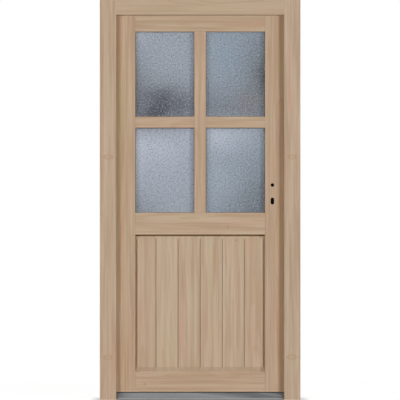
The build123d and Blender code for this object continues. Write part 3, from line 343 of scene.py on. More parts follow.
class Timber(Finish):
    """Pale softwood with growth rings, streaks and fibres, its grain along one axis of the door."""

    def __init__(self, node, along, colour, seed, contrast=1.0, mitred=False):
        super().__init__("timber_" + node, Specular_IOR_Level=TIMBER_GLOSS)
        self.colour = colour
        self.x, self.y, self.z = self.apart(self.place)
        self.facing_x, _, self.facing_z = self.apart(self.node("ShaderNodeTexCoord", {}, {}, "Normal"))
        grain, end_facing = self.laid(node, along, CUT_STEP * seed, mitred)
        self.ends = self.eased(end_facing, *END_GRAIN)
        self.grow(grain, random.Random(seed))
        self.saw(grain, contrast)

    def laid(self, node, along, cut, mitred):
        """A place across, into and along the grain, and how squarely a face looks along it."""
        low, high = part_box(node)
        middle = (low + high) / 2
        upright = self.turned((0.0, 0.0, 0.0), (-middle.x, -middle.y, -middle.z + cut))
        level = self.turned((0.0, -math.pi / 2, 0.0), (middle.z, -middle.y, -middle.x + cut))
        if not mitred:
            return (upright, abs(self.facing_z)) if along == "Z" else (level, abs(self.facing_x))
        half = (high - low) / 2
        is_upright = (abs(self.x - middle.x) - half.x) > (abs(self.z - middle.z) - half.z)
        end_facing = abs(self.facing_z) * is_upright + abs(self.facing_x) * (1 - is_upright)
        return self.chosen(is_upright, level, upright), end_facing

    def grow(self, grain, chance):
        """Year rings about a pith behind the piece, each with dark latewood at its end."""
        pith_across = chance.uniform(-PITH_ASIDE, PITH_ASIDE)
        pith_deep = chance.uniform(*PITH_BEHIND)
        across, deep, _ = self.apart(grain)
        sway = self.drawn_out(grain, SWAY_CHANGES, SOFT) - MOTTLE_MIDDLE
        self.drift = self.drawn_out(grain, DRIFT_CHANGES) - MOTTLE_MIDDLE
        run = across - pith_across + sway * SWAY_REACH
        depth = deep - pith_deep + self.drift * DRIFT_REACH
        rings = (run * run + depth * depth) ** 0.5 / RING_WIDTH + self.drift * RING_DRIFT
        season = rings % 1.0
        self.latewood = self.eased(season, *LATEWOOD_RISE) * (1 - self.eased(season, *LATEWOOD_FALL))

    def saw(self, grain, contrast):
        """The colour and roughness of the sawn face."""
        self.fibre = self.drawn_out(grain, FIBRE_CHANGES, MEDIUM, CRISP)
        streak = self.drawn_out(grain, STREAK_CHANGES, FINE, LIVELY)
        blush = self.drawn_out(grain, BLUSH_CHANGES)
        field = self.drawn_out(grain, FIELD_CHANGES)
        self.body = self.mixed(self.eased(streak, *STREAK_RANGE), self.toned(DARK_STREAK, contrast),
                               self.toned(PALE_STREAK, contrast))
        self.mark(PINK_BLUSH, self.eased(blush, *BLUSH_RANGE), contrast)
        self.mark(GREEN_BLUSH, self.eased(1 - blush, *BLUSH_RANGE), contrast)
        self.mark(PALE_FIELD, self.eased(field, *FIELD_RANGE), contrast)
        self.stain(LATEWOOD_TINT, self.latewood * (LATEWOOD_LEAST + LATEWOOD_MORE * field))
        self.mark(DARK_FIBRE, self.eased(self.fibre, *FIBRE_RANGE))
        self.rough = TIMBER_ROUGHNESS + FIBRE_ROUGHENS * self.fibre - LATEWOOD_SMOOTHS * self.latewood

    def toned(self, tint, contrast=1.0):
        """The timber's colour in a tint that is drawn stronger or weaker by the contrast."""
        return tinted(self.colour, *[1 + (share - 1) * contrast for share in tint])

    def stain(self, tint, amount, contrast=1.0):
        self.body = self.mixed(amount, self.body, self.toned(tint, contrast))

    def mark(self, mark, mask, contrast=1.0):
        self.stain(mark.tint, mask * mark.strength, contrast)

    def grow_knot(self, knot):
        ahead = (self.x - knot.x) / knot.half_width
        above = (self.z - knot.z) / knot.half_height
        away = (ahead * ahead + above * above) ** 0.5 + self.drift * KNOT_RAGGEDNESS
        heart = (1 - self.eased(away, *HEART_RANGE)) * knot.heart
        outline = (1 - self.eased(abs(away - 1.0), *OUTLINE_RANGE)) * knot.outline
        self.mark(KNOT_HALO, 1 - self.eased(away, *HALO_RANGE))
        self.stain(KNOT_TINT, heart + outline)
        self.rough = self.rough - HEART_SMOOTHS * heart

    # Paints a pale line of painted light at this height.
    def paint_light_line(self, height):
        self.mark(PAINTED_LIGHT_LINE, 1 - self.eased(abs(self.z - height), *LIGHT_LINE_WIDTH))

    def paint_jamb_shadow(self, tint):
        """Paints the jamb's shadow onto the strip of the leaf's face beside it, as a darker, browner tint."""
        strip = self.eased(abs(self.x), *PAINTED_JAMB_SHADOW_RANGE) * (self.y < PAINTED_JAMB_SHADOW_DEPTH)
        self.body = self.mixed(strip, self.body, self.vectors("MULTIPLY", self.body, tint))

    def darken_ends(self):
        self.stain(END_GRAIN_TINT, self.ends * (END_LEAST + END_MORE * self.latewood))

    def paint_board_light_and_shade(self):
        """Paints shade on a board's downward bevels and its V joint, painted light beside the stiles, and
        painted shade at the seam with them and in the groove.
        """
        self.mark(BEVEL_PAINTED_SHADE, self.eased(self.facing_z * -1, *BEVEL_FACING) * (1 - self.ends))
        self.mark(VEE_PAINTED_SHADE, self.eased(abs(self.facing_x), *VEE_FACING))
        self.mark(PANEL_PAINTED_LIGHT, self.eased(abs(self.x), *MARGIN_RANGE))
        self.mark(PANEL_PAINTED_SHADE, self.eased(abs(self.x), *SEAM_RANGE))
        inside = (self.y > GROOVE_FRONT) * (self.y < GROOVE_BACK) * (self.z > GROOVE_FOOT)
        self.mark(GROOVE_PAINTED_SHADE, inside)

    # Paints shade inside the cylinder slot.
    def paint_slot_shade(self):
        inside = (abs(self.x - SLOT_X) < SLOT_REACH_X) * (abs(self.z - SLOT_Z) < SLOT_REACH_Z)
        self.mark(SLOT_PAINTED_SHADE, inside * (self.y > SLOT_FRONT) * (self.y < SLOT_BACK))

    def done(self):
        self.feed(Base_Color=self.body, Roughness=self.rough)
        self.relief(self.fibre * FIBRE_RISES - self.latewood * LATEWOOD_SINKS, *TIMBER_RELIEF)
        return self.material


# Glass

GLASS_IOR = 1.5
OBSCURE_CLARITY, OBSCURE_GLOSS = 0.55, 0.2
LEFT_GLASS, RIGHT_GLASS = (172, 178, 190), (158, 168, 181)
GLASS_CHANGE = -0.1, 0.14       # where the left panes' tone gives way to the right panes'
FLAT = 1.0, 0.0, 1.0            # a pattern on this looks the same all through the pane
# Soft painted light and shade of the blurred surroundings behind the obscure panes: x, z, reach along x and
# z, strength, colour.
GLASS_PAINTED_SURROUNDINGS = (
    (-0.24, 1.30, 0.20, 0.13, 0.9, (214, 217, 231)),
    (-0.225, 1.455, 0.25, 0.12, 0.97, (70, 72, 84)),
    (-0.33, 1.58, 0.08, 0.12, 0.7, (132, 133, 140)),
    (-0.315, 1.83, 0.05, 0.05, 0.4, (205, 210, 220)),
    (-0.315, 1.19, 0.035, 0.16, 0.35, (224, 227, 238)),
    (-0.34, 0.94, 0.13, 0.09, 0.85, (140, 144, 152)),
    (0.18, 1.425, 0.20, 0.09, 0.75, (124, 127, 137)),
    (0.35, 1.61, 0.14, 0.19, 0.9, (98, 103, 109)),
    (0.12, 1.72, 0.09, 0.12, 0.5, (158, 174, 189)),
    (0.11, 1.315, 0.18, 0.08, 0.85, (202, 208, 221)),
    (0.25, 1.49, 0.09, 0.08, 0.3, (152, 143, 140)),
    (0.34, 0.93, 0.18, 0.21, 0.9, (92, 99, 106)),
    (-0.19, 1.12, 0.20, 0.18, 0.4, (186, 193, 206)),
    (0.11, 1.10, 0.14, 0.13, 0.4, (184, 195, 208)),
)
TONE_CHANGES, TONE_RAGGEDNESS = 9.0, 1.2
# The shaded rim of a pane: how far it starts inside the timber's edge, and how far behind it it ends.
RIM_INSIDE, RIM_BEHIND = 0.007, 0.001
SIDE_RIM_STRENGTH, TOP_RIM_STRENGTH, RIM_COLOUR = 0.6, 0.4, (78, 79, 84)
SPECKS_A_METRE, PEBBLES_A_METRE, PEBBLE_SMOOTHNESS = 130.0, 150.0, 0.6
BRIGHT_RANGE, BRIGHT_SPECK = (0.51, 0.70), (212, 216, 226)
DARK_RANGE, DARK_SPECK = (0.5, 0.70), (66, 70, 80)
SPECK_STRENGTH = 0.6
OBSCURE_ROUGHNESS, PEBBLE_ROUGHENS = 0.24, 0.2
SPECK_RISES = 0.4
OBSCURE_RELIEF = 0.35, 0.0012
CLEAR_TONE, DUSTY_TONE = (236, 244, 240), (228, 238, 234)
DUST_CHANGES, DUST_RANGE = 30.0, (0.5, 0.9)
CLEAR_ROUGHNESS, DUST_ROUGHENS = 0.01, 0.05


def obscure_glass():
    """Pebbled glass with a cool tint, a fine speckle, painted blurred light and shade of its surroundings and
    a painted shaded rim.
    """
    finish = Finish("obscure_glass", Transmission_Weight=OBSCURE_CLARITY, IOR=GLASS_IOR,
                    Specular_IOR_Level=OBSCURE_GLOSS)
    x, _, z = finish.apart(finish.place)
    fade = finish.mottle(finish.place, TONE_CHANGES) - MOTTLE_MIDDLE
    body = finish.mixed(finish.eased(x, *GLASS_CHANGE), shade(*LEFT_GLASS), shade(*RIGHT_GLASS))
    for tone_x, tone_z, reach_x, reach_z, strength, colour in GLASS_PAINTED_SURROUNDINGS:
        ahead = (x - tone_x) / reach_x
        above = (z - tone_z) / reach_z
        mask = finish.maths("EXPONENT", (ahead * ahead + above * above + fade * TONE_RAGGEDNESS) * -1)
        body = finish.mixed(mask * strength, body, shade(*colour))
    pane_middle, half_width = (bar_edge + stile_edge) / 2, (stile_edge - bar_edge) / 2
    side_rim = finish.eased(abs(abs(x) - pane_middle), half_width - RIM_INSIDE, half_width + RIM_BEHIND)
    top_rim = finish.eased(z, lower_pane_top - RIM_INSIDE, lower_pane_top + RIM_BEHIND)
    top_rim = top_rim * (z < (lower_pane_top + upper_pane_foot) / 2)
    rim = finish.maths("MAXIMUM", side_rim * SIDE_RIM_STRENGTH, top_rim * TOP_RIM_STRENGTH)
    body = finish.mixed(rim, body, shade(*RIM_COLOUR))
    flat = finish.vectors("MULTIPLY", finish.place, FLAT)
    speckle = finish.mottle(flat, SPECKS_A_METRE, MEDIUM, CRISP)
    pebble = finish.pebbles(flat, PEBBLES_A_METRE, PEBBLE_SMOOTHNESS)
    body = finish.mixed(finish.eased(speckle, *BRIGHT_RANGE) * SPECK_STRENGTH, body, shade(*BRIGHT_SPECK))
    body = finish.mixed(finish.eased(1 - speckle, *DARK_RANGE) * SPECK_STRENGTH, body, shade(*DARK_SPECK))
    finish.feed(Base_Color=body, Roughness=OBSCURE_ROUGHNESS + PEBBLE_ROUGHENS * pebble)
    finish.relief(pebble + speckle * SPECK_RISES, *OBSCURE_RELIEF)
    return finish.material


def clear_glass():
    """Plain float glass with a slight green tint and a trace of dust."""
    finish = Finish("clear_glass", Transmission_Weight=1.0, IOR=GLASS_IOR)
    dust = finish.mottle(finish.place, DUST_CHANGES, FINE)
    finish.feed(Base_Color=finish.mixed(dust, shade(*CLEAR_TONE), shade(*DUSTY_TONE)),
                Roughness=CLEAR_ROUGHNESS + DUST_ROUGHENS * finish.eased(dust, *DUST_RANGE))
    return finish.material


# Metal

ALUMINIUM_METALLIC, STEEL_METALLIC = 0.85, 0.9
BRUSH_CHANGES, CLOUD_CHANGES = (7.0, 1500.0, 1500.0), (5.0, 40.0, 40.0)
DARK_CLOUD, PALE_CLOUD = (0.93, 0.93, 0.94), (1.07, 1.07, 1.06)
BRUSH_RANGE, BRUSH_STRENGTH, BRUSH_TINT = (0.45, 0.85), 0.25, (0.72, 0.72, 0.73)
BRUSH_ROUGHENS = 0.12
BRUSH_RELIEF = 0.12, 0.0003
# The threshold's slow reflections, from its left end to its right end. They lean over in the middle stretch,
# by so many metres along it for each metre up.
# These reflections are painted into the threshold's colour.
RAMP_PAINTED_REFLECTIONS = ((0.0, 94), (0.04, 118), (0.1, 127), (0.3, 123), (0.46, 125), (0.51, 132), (0.57, 120),
              (0.66, 110), (0.81, 95), (0.9, 99), (0.96, 103), (1.0, 80))
COOL_CAST = 0, 1, 3             # what red, green and blue have above such a tone
RAMP_LEAN, LEAN_HEIGHT = 10.0, 0.024
LEAN_RISE, LEAN_FALL = (-0.3, 0.0), (0.2, 0.3)
# Painted highlight along the threshold's nose and painted shade at its foot, by height.
NOSE_RANGE, NOSE_PAINTED_HIGHLIGHT = (0.0092, 0.0104), (168, 167, 166)
FOOT_RANGE, FOOT_PAINTED_SHADE = (0.0042, 0.0054), (74, 73, 71)
NOSE_STRENGTH = 0.85
# A painted gleam, slanting, near the right end.
GLEAM_X, GLEAM_HEIGHT, GLEAM_LEAN, GLEAM_RANGE = 0.309, 0.032, 7.0, (0.004, 0.03)
GLEAM_START, GLEAM_STRENGTH, GLEAM_TONE = (0.26, 0.3), 0.75, (128, 128, 131)
PLATING_CHANGES, WEAR_CHANGES, DRAWING_CHANGES = 45.0, 260.0, (600.0, 600.0, 40.0)
DARK_PLATING, PALE_PLATING, WARM_LOSS = (0.88, 0.88, 0.9), (1.1, 1.1, 1.08), (0.0, 0.06, 0.2)
WEAR_RANGE, WEAR_STRENGTH, WEAR_TINT = (0.6, 0.85), 0.3, (0.65, 0.64, 0.62)
PLATING_ROUGHENS, DRAWING_ROUGHENS = 0.14, 0.05
STEEL_RELIEF = 0.08, 0.0002
BLACK_METALLIC, BLACK_GLOSS, BLACK_CHANGES = 0.1, 0.12, 120.0
BLACK_STEEL, GREY_STEEL = (16, 15, 15), (34, 32, 31)
BLACK_ROUGHNESS, BLACK_ROUGHENS = 0.55, 0.2
BLACK_RELIEF = 0.1, 0.0002


def threshold_painted_light(finish):
    """The threshold's painted reflections, painted highlight on its nose, painted shade at its foot and the
    painted gleam near its right end.
    """
    x, _, z = finish.apart(finish.place)
    lean = (z - LEAN_HEIGHT) * RAMP_LEAN * finish.eased(x, *LEAN_RISE) * (1 - finish.eased(x, *LEAN_FALL))
    reach = (x - ramp_low.x + lean) / (ramp_high.x - ramp_low.x)
    stops = [(place, shade(*[tone + cast for cast in COOL_CAST])) for place, tone in RAMP_PAINTED_REFLECTIONS]
    body = finish.node("ShaderNodeValToRGB", {"stops": stops}, {"Fac": reach}, "Color")
    nose = 1 - finish.eased(z, *NOSE_RANGE)
    foot = 1 - finish.eased(z, *FOOT_RANGE)
    body = finish.mixed(nose * NOSE_STRENGTH, body, shade(*NOSE_PAINTED_HIGHLIGHT))
    body = finish.mixed(foot * NOSE_STRENGTH, body, shade(*FOOT_PAINTED_SHADE))
    gleam = 1 - finish.eased(abs(x - GLEAM_X + (z - GLEAM_HEIGHT) * GLEAM_LEAN), *GLEAM_RANGE)
    gleam = gleam * GLEAM_STRENGTH * (1 - nose) * finish.eased(x, *GLEAM_START)
    return finish.mixed(gleam, body, shade(*GLEAM_TONE))


def brushed_metal(name, colour, roughness, painted_light=False):
    """Drawn aluminium, brushed along its length."""
    finish = Finish(name, Metallic=ALUMINIUM_METALLIC)
    brush = finish.drawn_out(finish.place, BRUSH_CHANGES, MEDIUM, CRISP)
    if painted_light:
        body = threshold_painted_light(finish)
    else:
        cloud = finish.drawn_out(finish.place, CLOUD_CHANGES)
        body = finish.mixed(cloud, tinted(colour, *DARK_CLOUD), tinted(colour, *PALE_CLOUD))
    body = finish.mixed(finish.eased(brush, *BRUSH_RANGE) * BRUSH_STRENGTH, body, tinted(colour, *BRUSH_TINT))
    finish.feed(Base_Color=body, Roughness=roughness + BRUSH_ROUGHENS * brush)
    finish.relief(brush, *BRUSH_RELIEF)
    return finish.material


def plated_steel(name, colour, roughness, warm=0.0):
    """Zinc-plated or satin steel with faint cloudy plating and fine drawing lines."""
    finish = Finish(name, Metallic=STEEL_METALLIC)
    plating = finish.mottle(finish.place, PLATING_CHANGES, FINE)
    lines = finish.drawn_out(finish.place, DRAWING_CHANGES)
    worn = finish.mottle(finish.place, WEAR_CHANGES)
    pale = [share - loss * warm for share, loss in zip(PALE_PLATING, WARM_LOSS)]
    body = finish.mixed(plating, tinted(colour, *DARK_PLATING), tinted(colour, *pale))
    body = finish.mixed(finish.eased(worn, *WEAR_RANGE) * WEAR_STRENGTH, body, tinted(colour, *WEAR_TINT))
    finish.feed(Base_Color=body, Roughness=roughness + PLATING_ROUGHENS * plating + DRAWING_ROUGHENS * lines)
    finish.relief(lines, *STEEL_RELIEF)
    return finish.material


def blackened_steel():
    """Sintered steel, blackened in oil, dull and faintly mottled."""
    finish = Finish("blackened_steel", Metallic=BLACK_METALLIC, Specular_IOR_Level=BLACK_GLOSS)
    cloud = finish.mottle(finish.place, BLACK_CHANGES, FINE)
    finish.feed(Base_Color=finish.mixed(cloud, shade(*BLACK_STEEL), shade(*GREY_STEEL)),
                Roughness=BLACK_ROUGHNESS + BLACK_ROUGHENS * cloud)
    finish.relief(cloud, *BLACK_RELIEF)
    return finish.material


# Plastic and rubber

PLASTIC_GLOSS, RUBBER_GLOSS = 0.4, 0.25
GRAIN_CHANGES, PATCH_CHANGES = 1400.0, 22.0
DARK_PATCH, PALE_PATCH = (0.86, 0.86, 0.86), (1.15, 1.15, 1.15)
GRAIN_ROUGHENS = 0.15
PLASTIC_RELIEF = 0.15, 0.0003
BLOOM_CHANGES, BLOOM_RANGE, BLOOM_STRENGTH, BLOOM_TONE = 60.0, (0.4, 0.8), 0.25, (170, 160, 150)
RUBBER_CHANGES, RUBBER_ROUGHNESS, RUBBER_ROUGHENS = 900.0, 0.62, 0.2
RUBBER_RELIEF = 0.1, 0.0002
# Painted light: runs of the glazing seals that are painted paler where shade falls on them, by height.
PAINTED_LIGHT_RUNS = (
    (upper_pane_top, (176, 172, 168)),
    (lower_pane_foot, (126, 116, 108)),
    (panel_foot, (216, 186, 156)),
)
RUN_REACH = 0.004


def moulded_plastic(name, colour, roughness):
    """Moulded plastic with a fine grain and a slightly worn skin."""
    finish = Finish(name, Specular_IOR_Level=PLASTIC_GLOSS)
    grain = finish.mottle(finish.place, GRAIN_CHANGES)
    patch = finish.mottle(finish.place, PATCH_CHANGES)
    body = finish.mixed(patch, tinted(colour, *DARK_PATCH), tinted(colour, *PALE_PATCH))
    finish.feed(Base_Color=body, Roughness=roughness + GRAIN_ROUGHENS * grain)
    finish.relief(grain, *PLASTIC_RELIEF)
    return finish.material


def soft_strip(name, colour, panel_colour=None):
    """Extruded rubber, dull, with a faint bloom. Round the panel it can have its own colour, and some runs
    are painted paler as painted light.
    """
    finish = Finish(name, Specular_IOR_Level=RUBBER_GLOSS)
    if panel_colour:
        height = finish.apart(finish.place)[2]
        colour = finish.mixed(height > (panel_top + lower_pane_foot) / 2, panel_colour, colour)
        for run, run_colour in PAINTED_LIGHT_RUNS:
            colour = finish.mixed(abs(height - run) < RUN_REACH, colour, shade(*run_colour))
    bloom = finish.eased(finish.mottle(finish.place, BLOOM_CHANGES, FINE), *BLOOM_RANGE)
    drawn = finish.mottle(finish.place, RUBBER_CHANGES, SOFT)
    finish.feed(Base_Color=finish.mixed(bloom * BLOOM_STRENGTH, colour, shade(*BLOOM_TONE)),
                Roughness=RUBBER_ROUGHNESS + RUBBER_ROUGHENS * drawn)
    finish.relief(drawn, *RUBBER_RELIEF)
    return finish.material


# Every CAD node gets its finish.

def dress(node, material):
    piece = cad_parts[node]
    if not piece.material_slots:
        piece.data.materials.append(material)
    for slot in piece.material_slots:
        slot.material = material


# Direction of the grain, colour, seed, knots, contrast of the streaks.
TIMBER = {
    "hinge_jamb": ("Z", (185, 162, 140), 1, (branch_knot(-0.459, 1.211), branch_knot(-0.460, 0.212)), 1.4),
    "lock_jamb": ("Z", (185, 163, 141), 2, (branch_knot(0.459, 1.211), branch_knot(0.457, 0.214)), 1.35),
    "head": ("X", (183, 162, 137), 3, (), 0.7),
    "hinge_stile": ("Z", (182, 157, 133), 4, (), 1.55),
    "lock_stile": ("Z", (183, 158, 135), 5, (), 1.2),
    "top_rail": ("X", (179, 156, 132), 6, (), 1.25),
    "lock_rail": ("X", (186, 162, 138), 7, (pin_knot(0.1375, 0.8605),), 1.2),
    "bottom_rail": ("X", (184, 160, 136), 8, (pin_knot(-0.2755, 0.0775, 0.010, 0.006),), 1.2),
    "upright_glazing_bar": ("Z", (184, 158, 135), 9, (), 1.4),
    "cross_glazing_bar_left": ("X", (183, 157, 134), 10, (), 1.5),
    "cross_glazing_bar_right": ("X", (184, 162, 139), 11, (), 1.5),
    "panel_board_1": ("Z", (184, 160, 136), 12, (), 1.1),
    "panel_board_2": ("Z", (189, 169, 144), 13, (), 0.9),
    "panel_board_3": ("Z", (187, 165, 142), 14, (), 1.4),
    "panel_board_4": ("Z", (186, 164, 141), 15, (), 1.5),
    "panel_board_5": ("Z", (187, 165, 142), 16, (pin_knot(0.1814, 0.794, 0.011, 0.007),), 1.2),
    "panel_board_6": ("Z", (186, 162, 138), 17, (), 1.15),
}
for node, (along, colour, seed, knots, contrast) in TIMBER.items():
    wood = Timber(node, along, shade(*colour), seed, contrast)
    for knot in knots:
        wood.grow_knot(knot)
    for height in PAINTED_LIGHT_LINES.get(node, ()):
        wood.paint_light_line(height)
    if node in PAINTED_JAMB_SHADOW_TINTS:
        wood.paint_jamb_shadow(PAINTED_JAMB_SHADOW_TINTS[node])
    wood.darken_ends()
    if node.startswith("panel_board"):
        wood.paint_board_light_and_shade()
    if node == "lock_stile":
        wood.paint_slot_shade()
    dress(node, wood.done())

PANES = ("upper_left", "upper_right", "lower_left", "lower_right")
BEAD_SEEDS = {
    "glazing_beads_upper_left": 20,
    "glazing_beads_upper_right": 21,
    "glazing_beads_lower_left": 22,
    "glazing_beads_lower_right": 23,
    "panel_beads": 25,
}
BEAD_COLOUR = 183, 158, 132
for node, seed in BEAD_SEEDS.items():
    wood = Timber(node, "Z", shade(*BEAD_COLOUR), seed, mitred=True)
    wood.darken_ends()
    dress(node, wood.done())

inner_glass = clear_glass()
for place in PANES:
    dress("inner_pane_" + place, inner_glass)

PLAIN_FINISHES = (
    (("threshold_outer_rail",), brushed_metal("threshold_metal", shade(135, 136, 138), 0.34, painted_light=True)),
    (("threshold_inner_rail",), brushed_metal("threshold_inner_metal", shade(118, 119, 121), 0.48)),
    (("threshold_isolator",), moulded_plastic("isolator_plastic", shade(58, 57, 56), 0.5)),
    (("threshold_end_block_left", "threshold_end_block_right"),
     moulded_plastic("end_block_plastic", shade(104, 99, 93), 0.5)),
    (("gasket_hinge_side", "gasket_lock_side", "gasket_head"), soft_strip("frame_gasket", shade(92, 72, 54))),
    (("bottom_seal",), soft_strip("bottom_seal", shade(114, 86, 58))),
    (("glazing_seals_outer", "glazing_seals_inner"),
     soft_strip("glazing_seal", shade(84, 80, 78), shade(126, 98, 74))),
    (("glass_spacers",), brushed_metal("spacer_metal", shade(150, 151, 153), 0.4)),
    (("setting_blocks",), moulded_plastic("packer_plastic", shade(96, 116, 138), 0.5)),
    (("hinge_frame_parts", "hinge_leaf_parts"), plated_steel("hinge_steel", shade(148, 146, 140), 0.44, 0.6)),
    (("strike_plate", "lock_faceplate"), plated_steel("plate_steel", shade(146, 146, 147), 0.42)),
    (("latch_bolt", "dead_bolt"), plated_steel("bolt_steel", shade(138, 137, 135), 0.4)),
    (("follower",), blackened_steel()),
    (("lock_case",), plated_steel("case_steel", shade(150, 151, 152), 0.4)),
)
for nodes, material in PLAIN_FINISHES:
    for node in nodes:
        dress(node, material)


# Shapes that follow a rule, made by node trees.

class Shape(Sheet):
    """A tree of geometry nodes with named inputs, which ends in real faces of one finish."""

    KINDS = {"float": "NodeSocketFloat", "vector": "NodeSocketVector", "count": "NodeSocketInt",
             "finish": "NodeSocketMaterial", "shape": "NodeSocketGeometry"}

    def __init__(self, name, **inputs):
        super().__init__(bpy.data.node_groups.new(name, "GeometryNodeTree"))
        self.names = {}
        for title, kind in {"Path": "shape", **inputs}.items():
            title = title.replace("_", " ")
            made = self.tree.interface.new_socket(title, in_out="INPUT", socket_type=self.KINDS[kind])
            self.names[title] = made.identifier
        self.tree.interface.new_socket("Shape", in_out="OUTPUT", socket_type=self.KINDS["shape"])
        self.given = self.tree.nodes.new("NodeGroupInput")

    def take(self, title):
        return Wire(self, self.given.outputs[title])

    def moved(self, shape, place):
        return self.node("GeometryNodeTransform", {}, {"Geometry": shape, "Translation": place})

    def end(self, shape):
        real = self.node("GeometryNodeRealizeInstances", {}, {"Geometry": shape})
        dressed = self.node("GeometryNodeSetMaterial", {},
                            {"Geometry": real, "Material": self.take("Finish")})
        self.node("NodeGroupOutput", {}, {"Shape": dressed})

    def make(self, name, path, **values):
        """Runs the tree on a path's mesh and keeps the result as a plain mesh object."""
        worker = bpy.data.objects.new(name + "_path", path or bpy.data.meshes.new(name + "_path"))
        bpy.context.scene.collection.objects.link(worker)
        modifier = worker.modifiers.new("shape", "NODES")
        modifier.node_group = self.tree
        for title, value in values.items():
            modifier[self.names[title.replace("_", " ")]] = value
        graph = bpy.context.evaluated_depsgraph_get()
        mesh = bpy.data.meshes.new_from_object(worker.evaluated_get(graph))
        worker.modifiers.remove(modifier)
        bpy.data.objects.remove(worker)
        mesh.name = name
        piece = bpy.data.objects.new(name, mesh)
        bpy.context.scene.collection.objects.link(piece)
        return piece


# Pebbled panes

PANE_CELL = 0.0025              # size of the mesh's faces
PANE_RELIEF = 0.0008            # depth of the pebbles
PANE_BORDER = 0.02              # the relief grows to its depth over this border
MESH_PEBBLES, MESH_RIPPLES, MESH_SMOOTHNESS = 140.0, 60.0, 0.7
PEBBLE_SHARE, RIPPLE_SHARE = 0.75, 0.4
DRIFT_X, DRIFT_Z = 0.37, 1.91   # how far apart in the pattern two panes are cut
SMOOTH_FACING = 0.6             # faces that look outwards more squarely than this are shaded smooth


def pebbled_pane_shape():
    """A pane whose outside face is pebbled, and flat at its border under the seals."""
    shape = Shape("pebbled_pane", Low="vector", Size="vector", Cell="float", Relief="float",
                  Pebble_scale="float", Border="float", Drift="vector", Finish="finish")
    low, size, cell = shape.take("Low"), shape.take("Size"), shape.take("Cell")
    size_x, _, size_z = shape.apart(size)
    slab = shape.node("GeometryNodeMeshCube", {}, {"Size": size, "Vertices X": size_x / cell, "Vertices Y": 2,
                                                   "Vertices Z": size_z / cell}, "Mesh")
    middle = shape.vectors("ADD", low, shape.vectors("MULTIPLY", size, (0.5, 0.5, 0.5)))
    x, y, z = shape.apart(shape.node("GeometryNodeInputPosition"))
    inset_x = shape.eased(size_x / 2 - abs(x), 0.0, shape.take("Border"))
    inset_z = shape.eased(size_z / 2 - abs(z), 0.0, shape.take("Border"))
    flat = shape.vectors("ADD", shape.joined(x, 0.0, z), shape.take("Drift"))
    pebble = shape.pebbles(flat, shape.take("Pebble scale"), MESH_SMOOTHNESS)
    ripple = shape.mottle(flat, MESH_RIPPLES, SOFT)
    depth = PEBBLE_SHARE * pebble + RIPPLE_SHARE * ripple
    sunk = shape.take("Relief") * inset_x * inset_z * (y < 0.0) * depth
    pressed = shape.node("GeometryNodeSetPosition", {},
                         {"Geometry": slab, "Offset": shape.joined(0.0, sunk, 0.0)})
    outward = abs(shape.apart(shape.node("GeometryNodeInputNormal"))[1])
    shape.end(shape.node("GeometryNodeSetShadeSmooth", {}, {"Geometry": shape.moved(pressed, middle),
                                                            "Selection": outward > SMOOTH_FACING}))
    return shape


pebbled_pane = pebbled_pane_shape()
outer_glass = obscure_glass()
for number, place in enumerate(PANES):
    node = "outer_pane_" + place
    low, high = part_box(node)
    pane = pebbled_pane.make("pebbled_" + node, None, Low=low, Size=high - low, Cell=PANE_CELL,
                             Relief=PANE_RELIEF, Pebble_scale=MESH_PEBBLES, Border=PANE_BORDER,
                             Drift=(DRIFT_X * number, 0.0, DRIFT_Z * number), Finish=outer_glass)
    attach(pane, "leaf")
    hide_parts(node)


# Screws of the strike plate and the faceplate

HEAD_SIDES, SHANK_SIDES = 32, 16
SCREW_HEAD_RADIUS = 0.004
SCREW_RADIUS = 0.0022
SCREW_LENGTH = 0.022
SCREW_SINK = 0.0001             # how far the heads lie below the plate's face
SCREW_FROM_END = 0.012          # from the plate's end to the screw
DRIVE_WIDTH, DRIVE_LENGTH, DRIVE_DEPTH = 0.0009, 0.0044, 0.0011
PLATES = (("strike_plate", "frame", 0, -1), ("lock_faceplate", "leaf", 1, 1))    # node, body, side, turn
FIRST_SCREW_SEED = 3


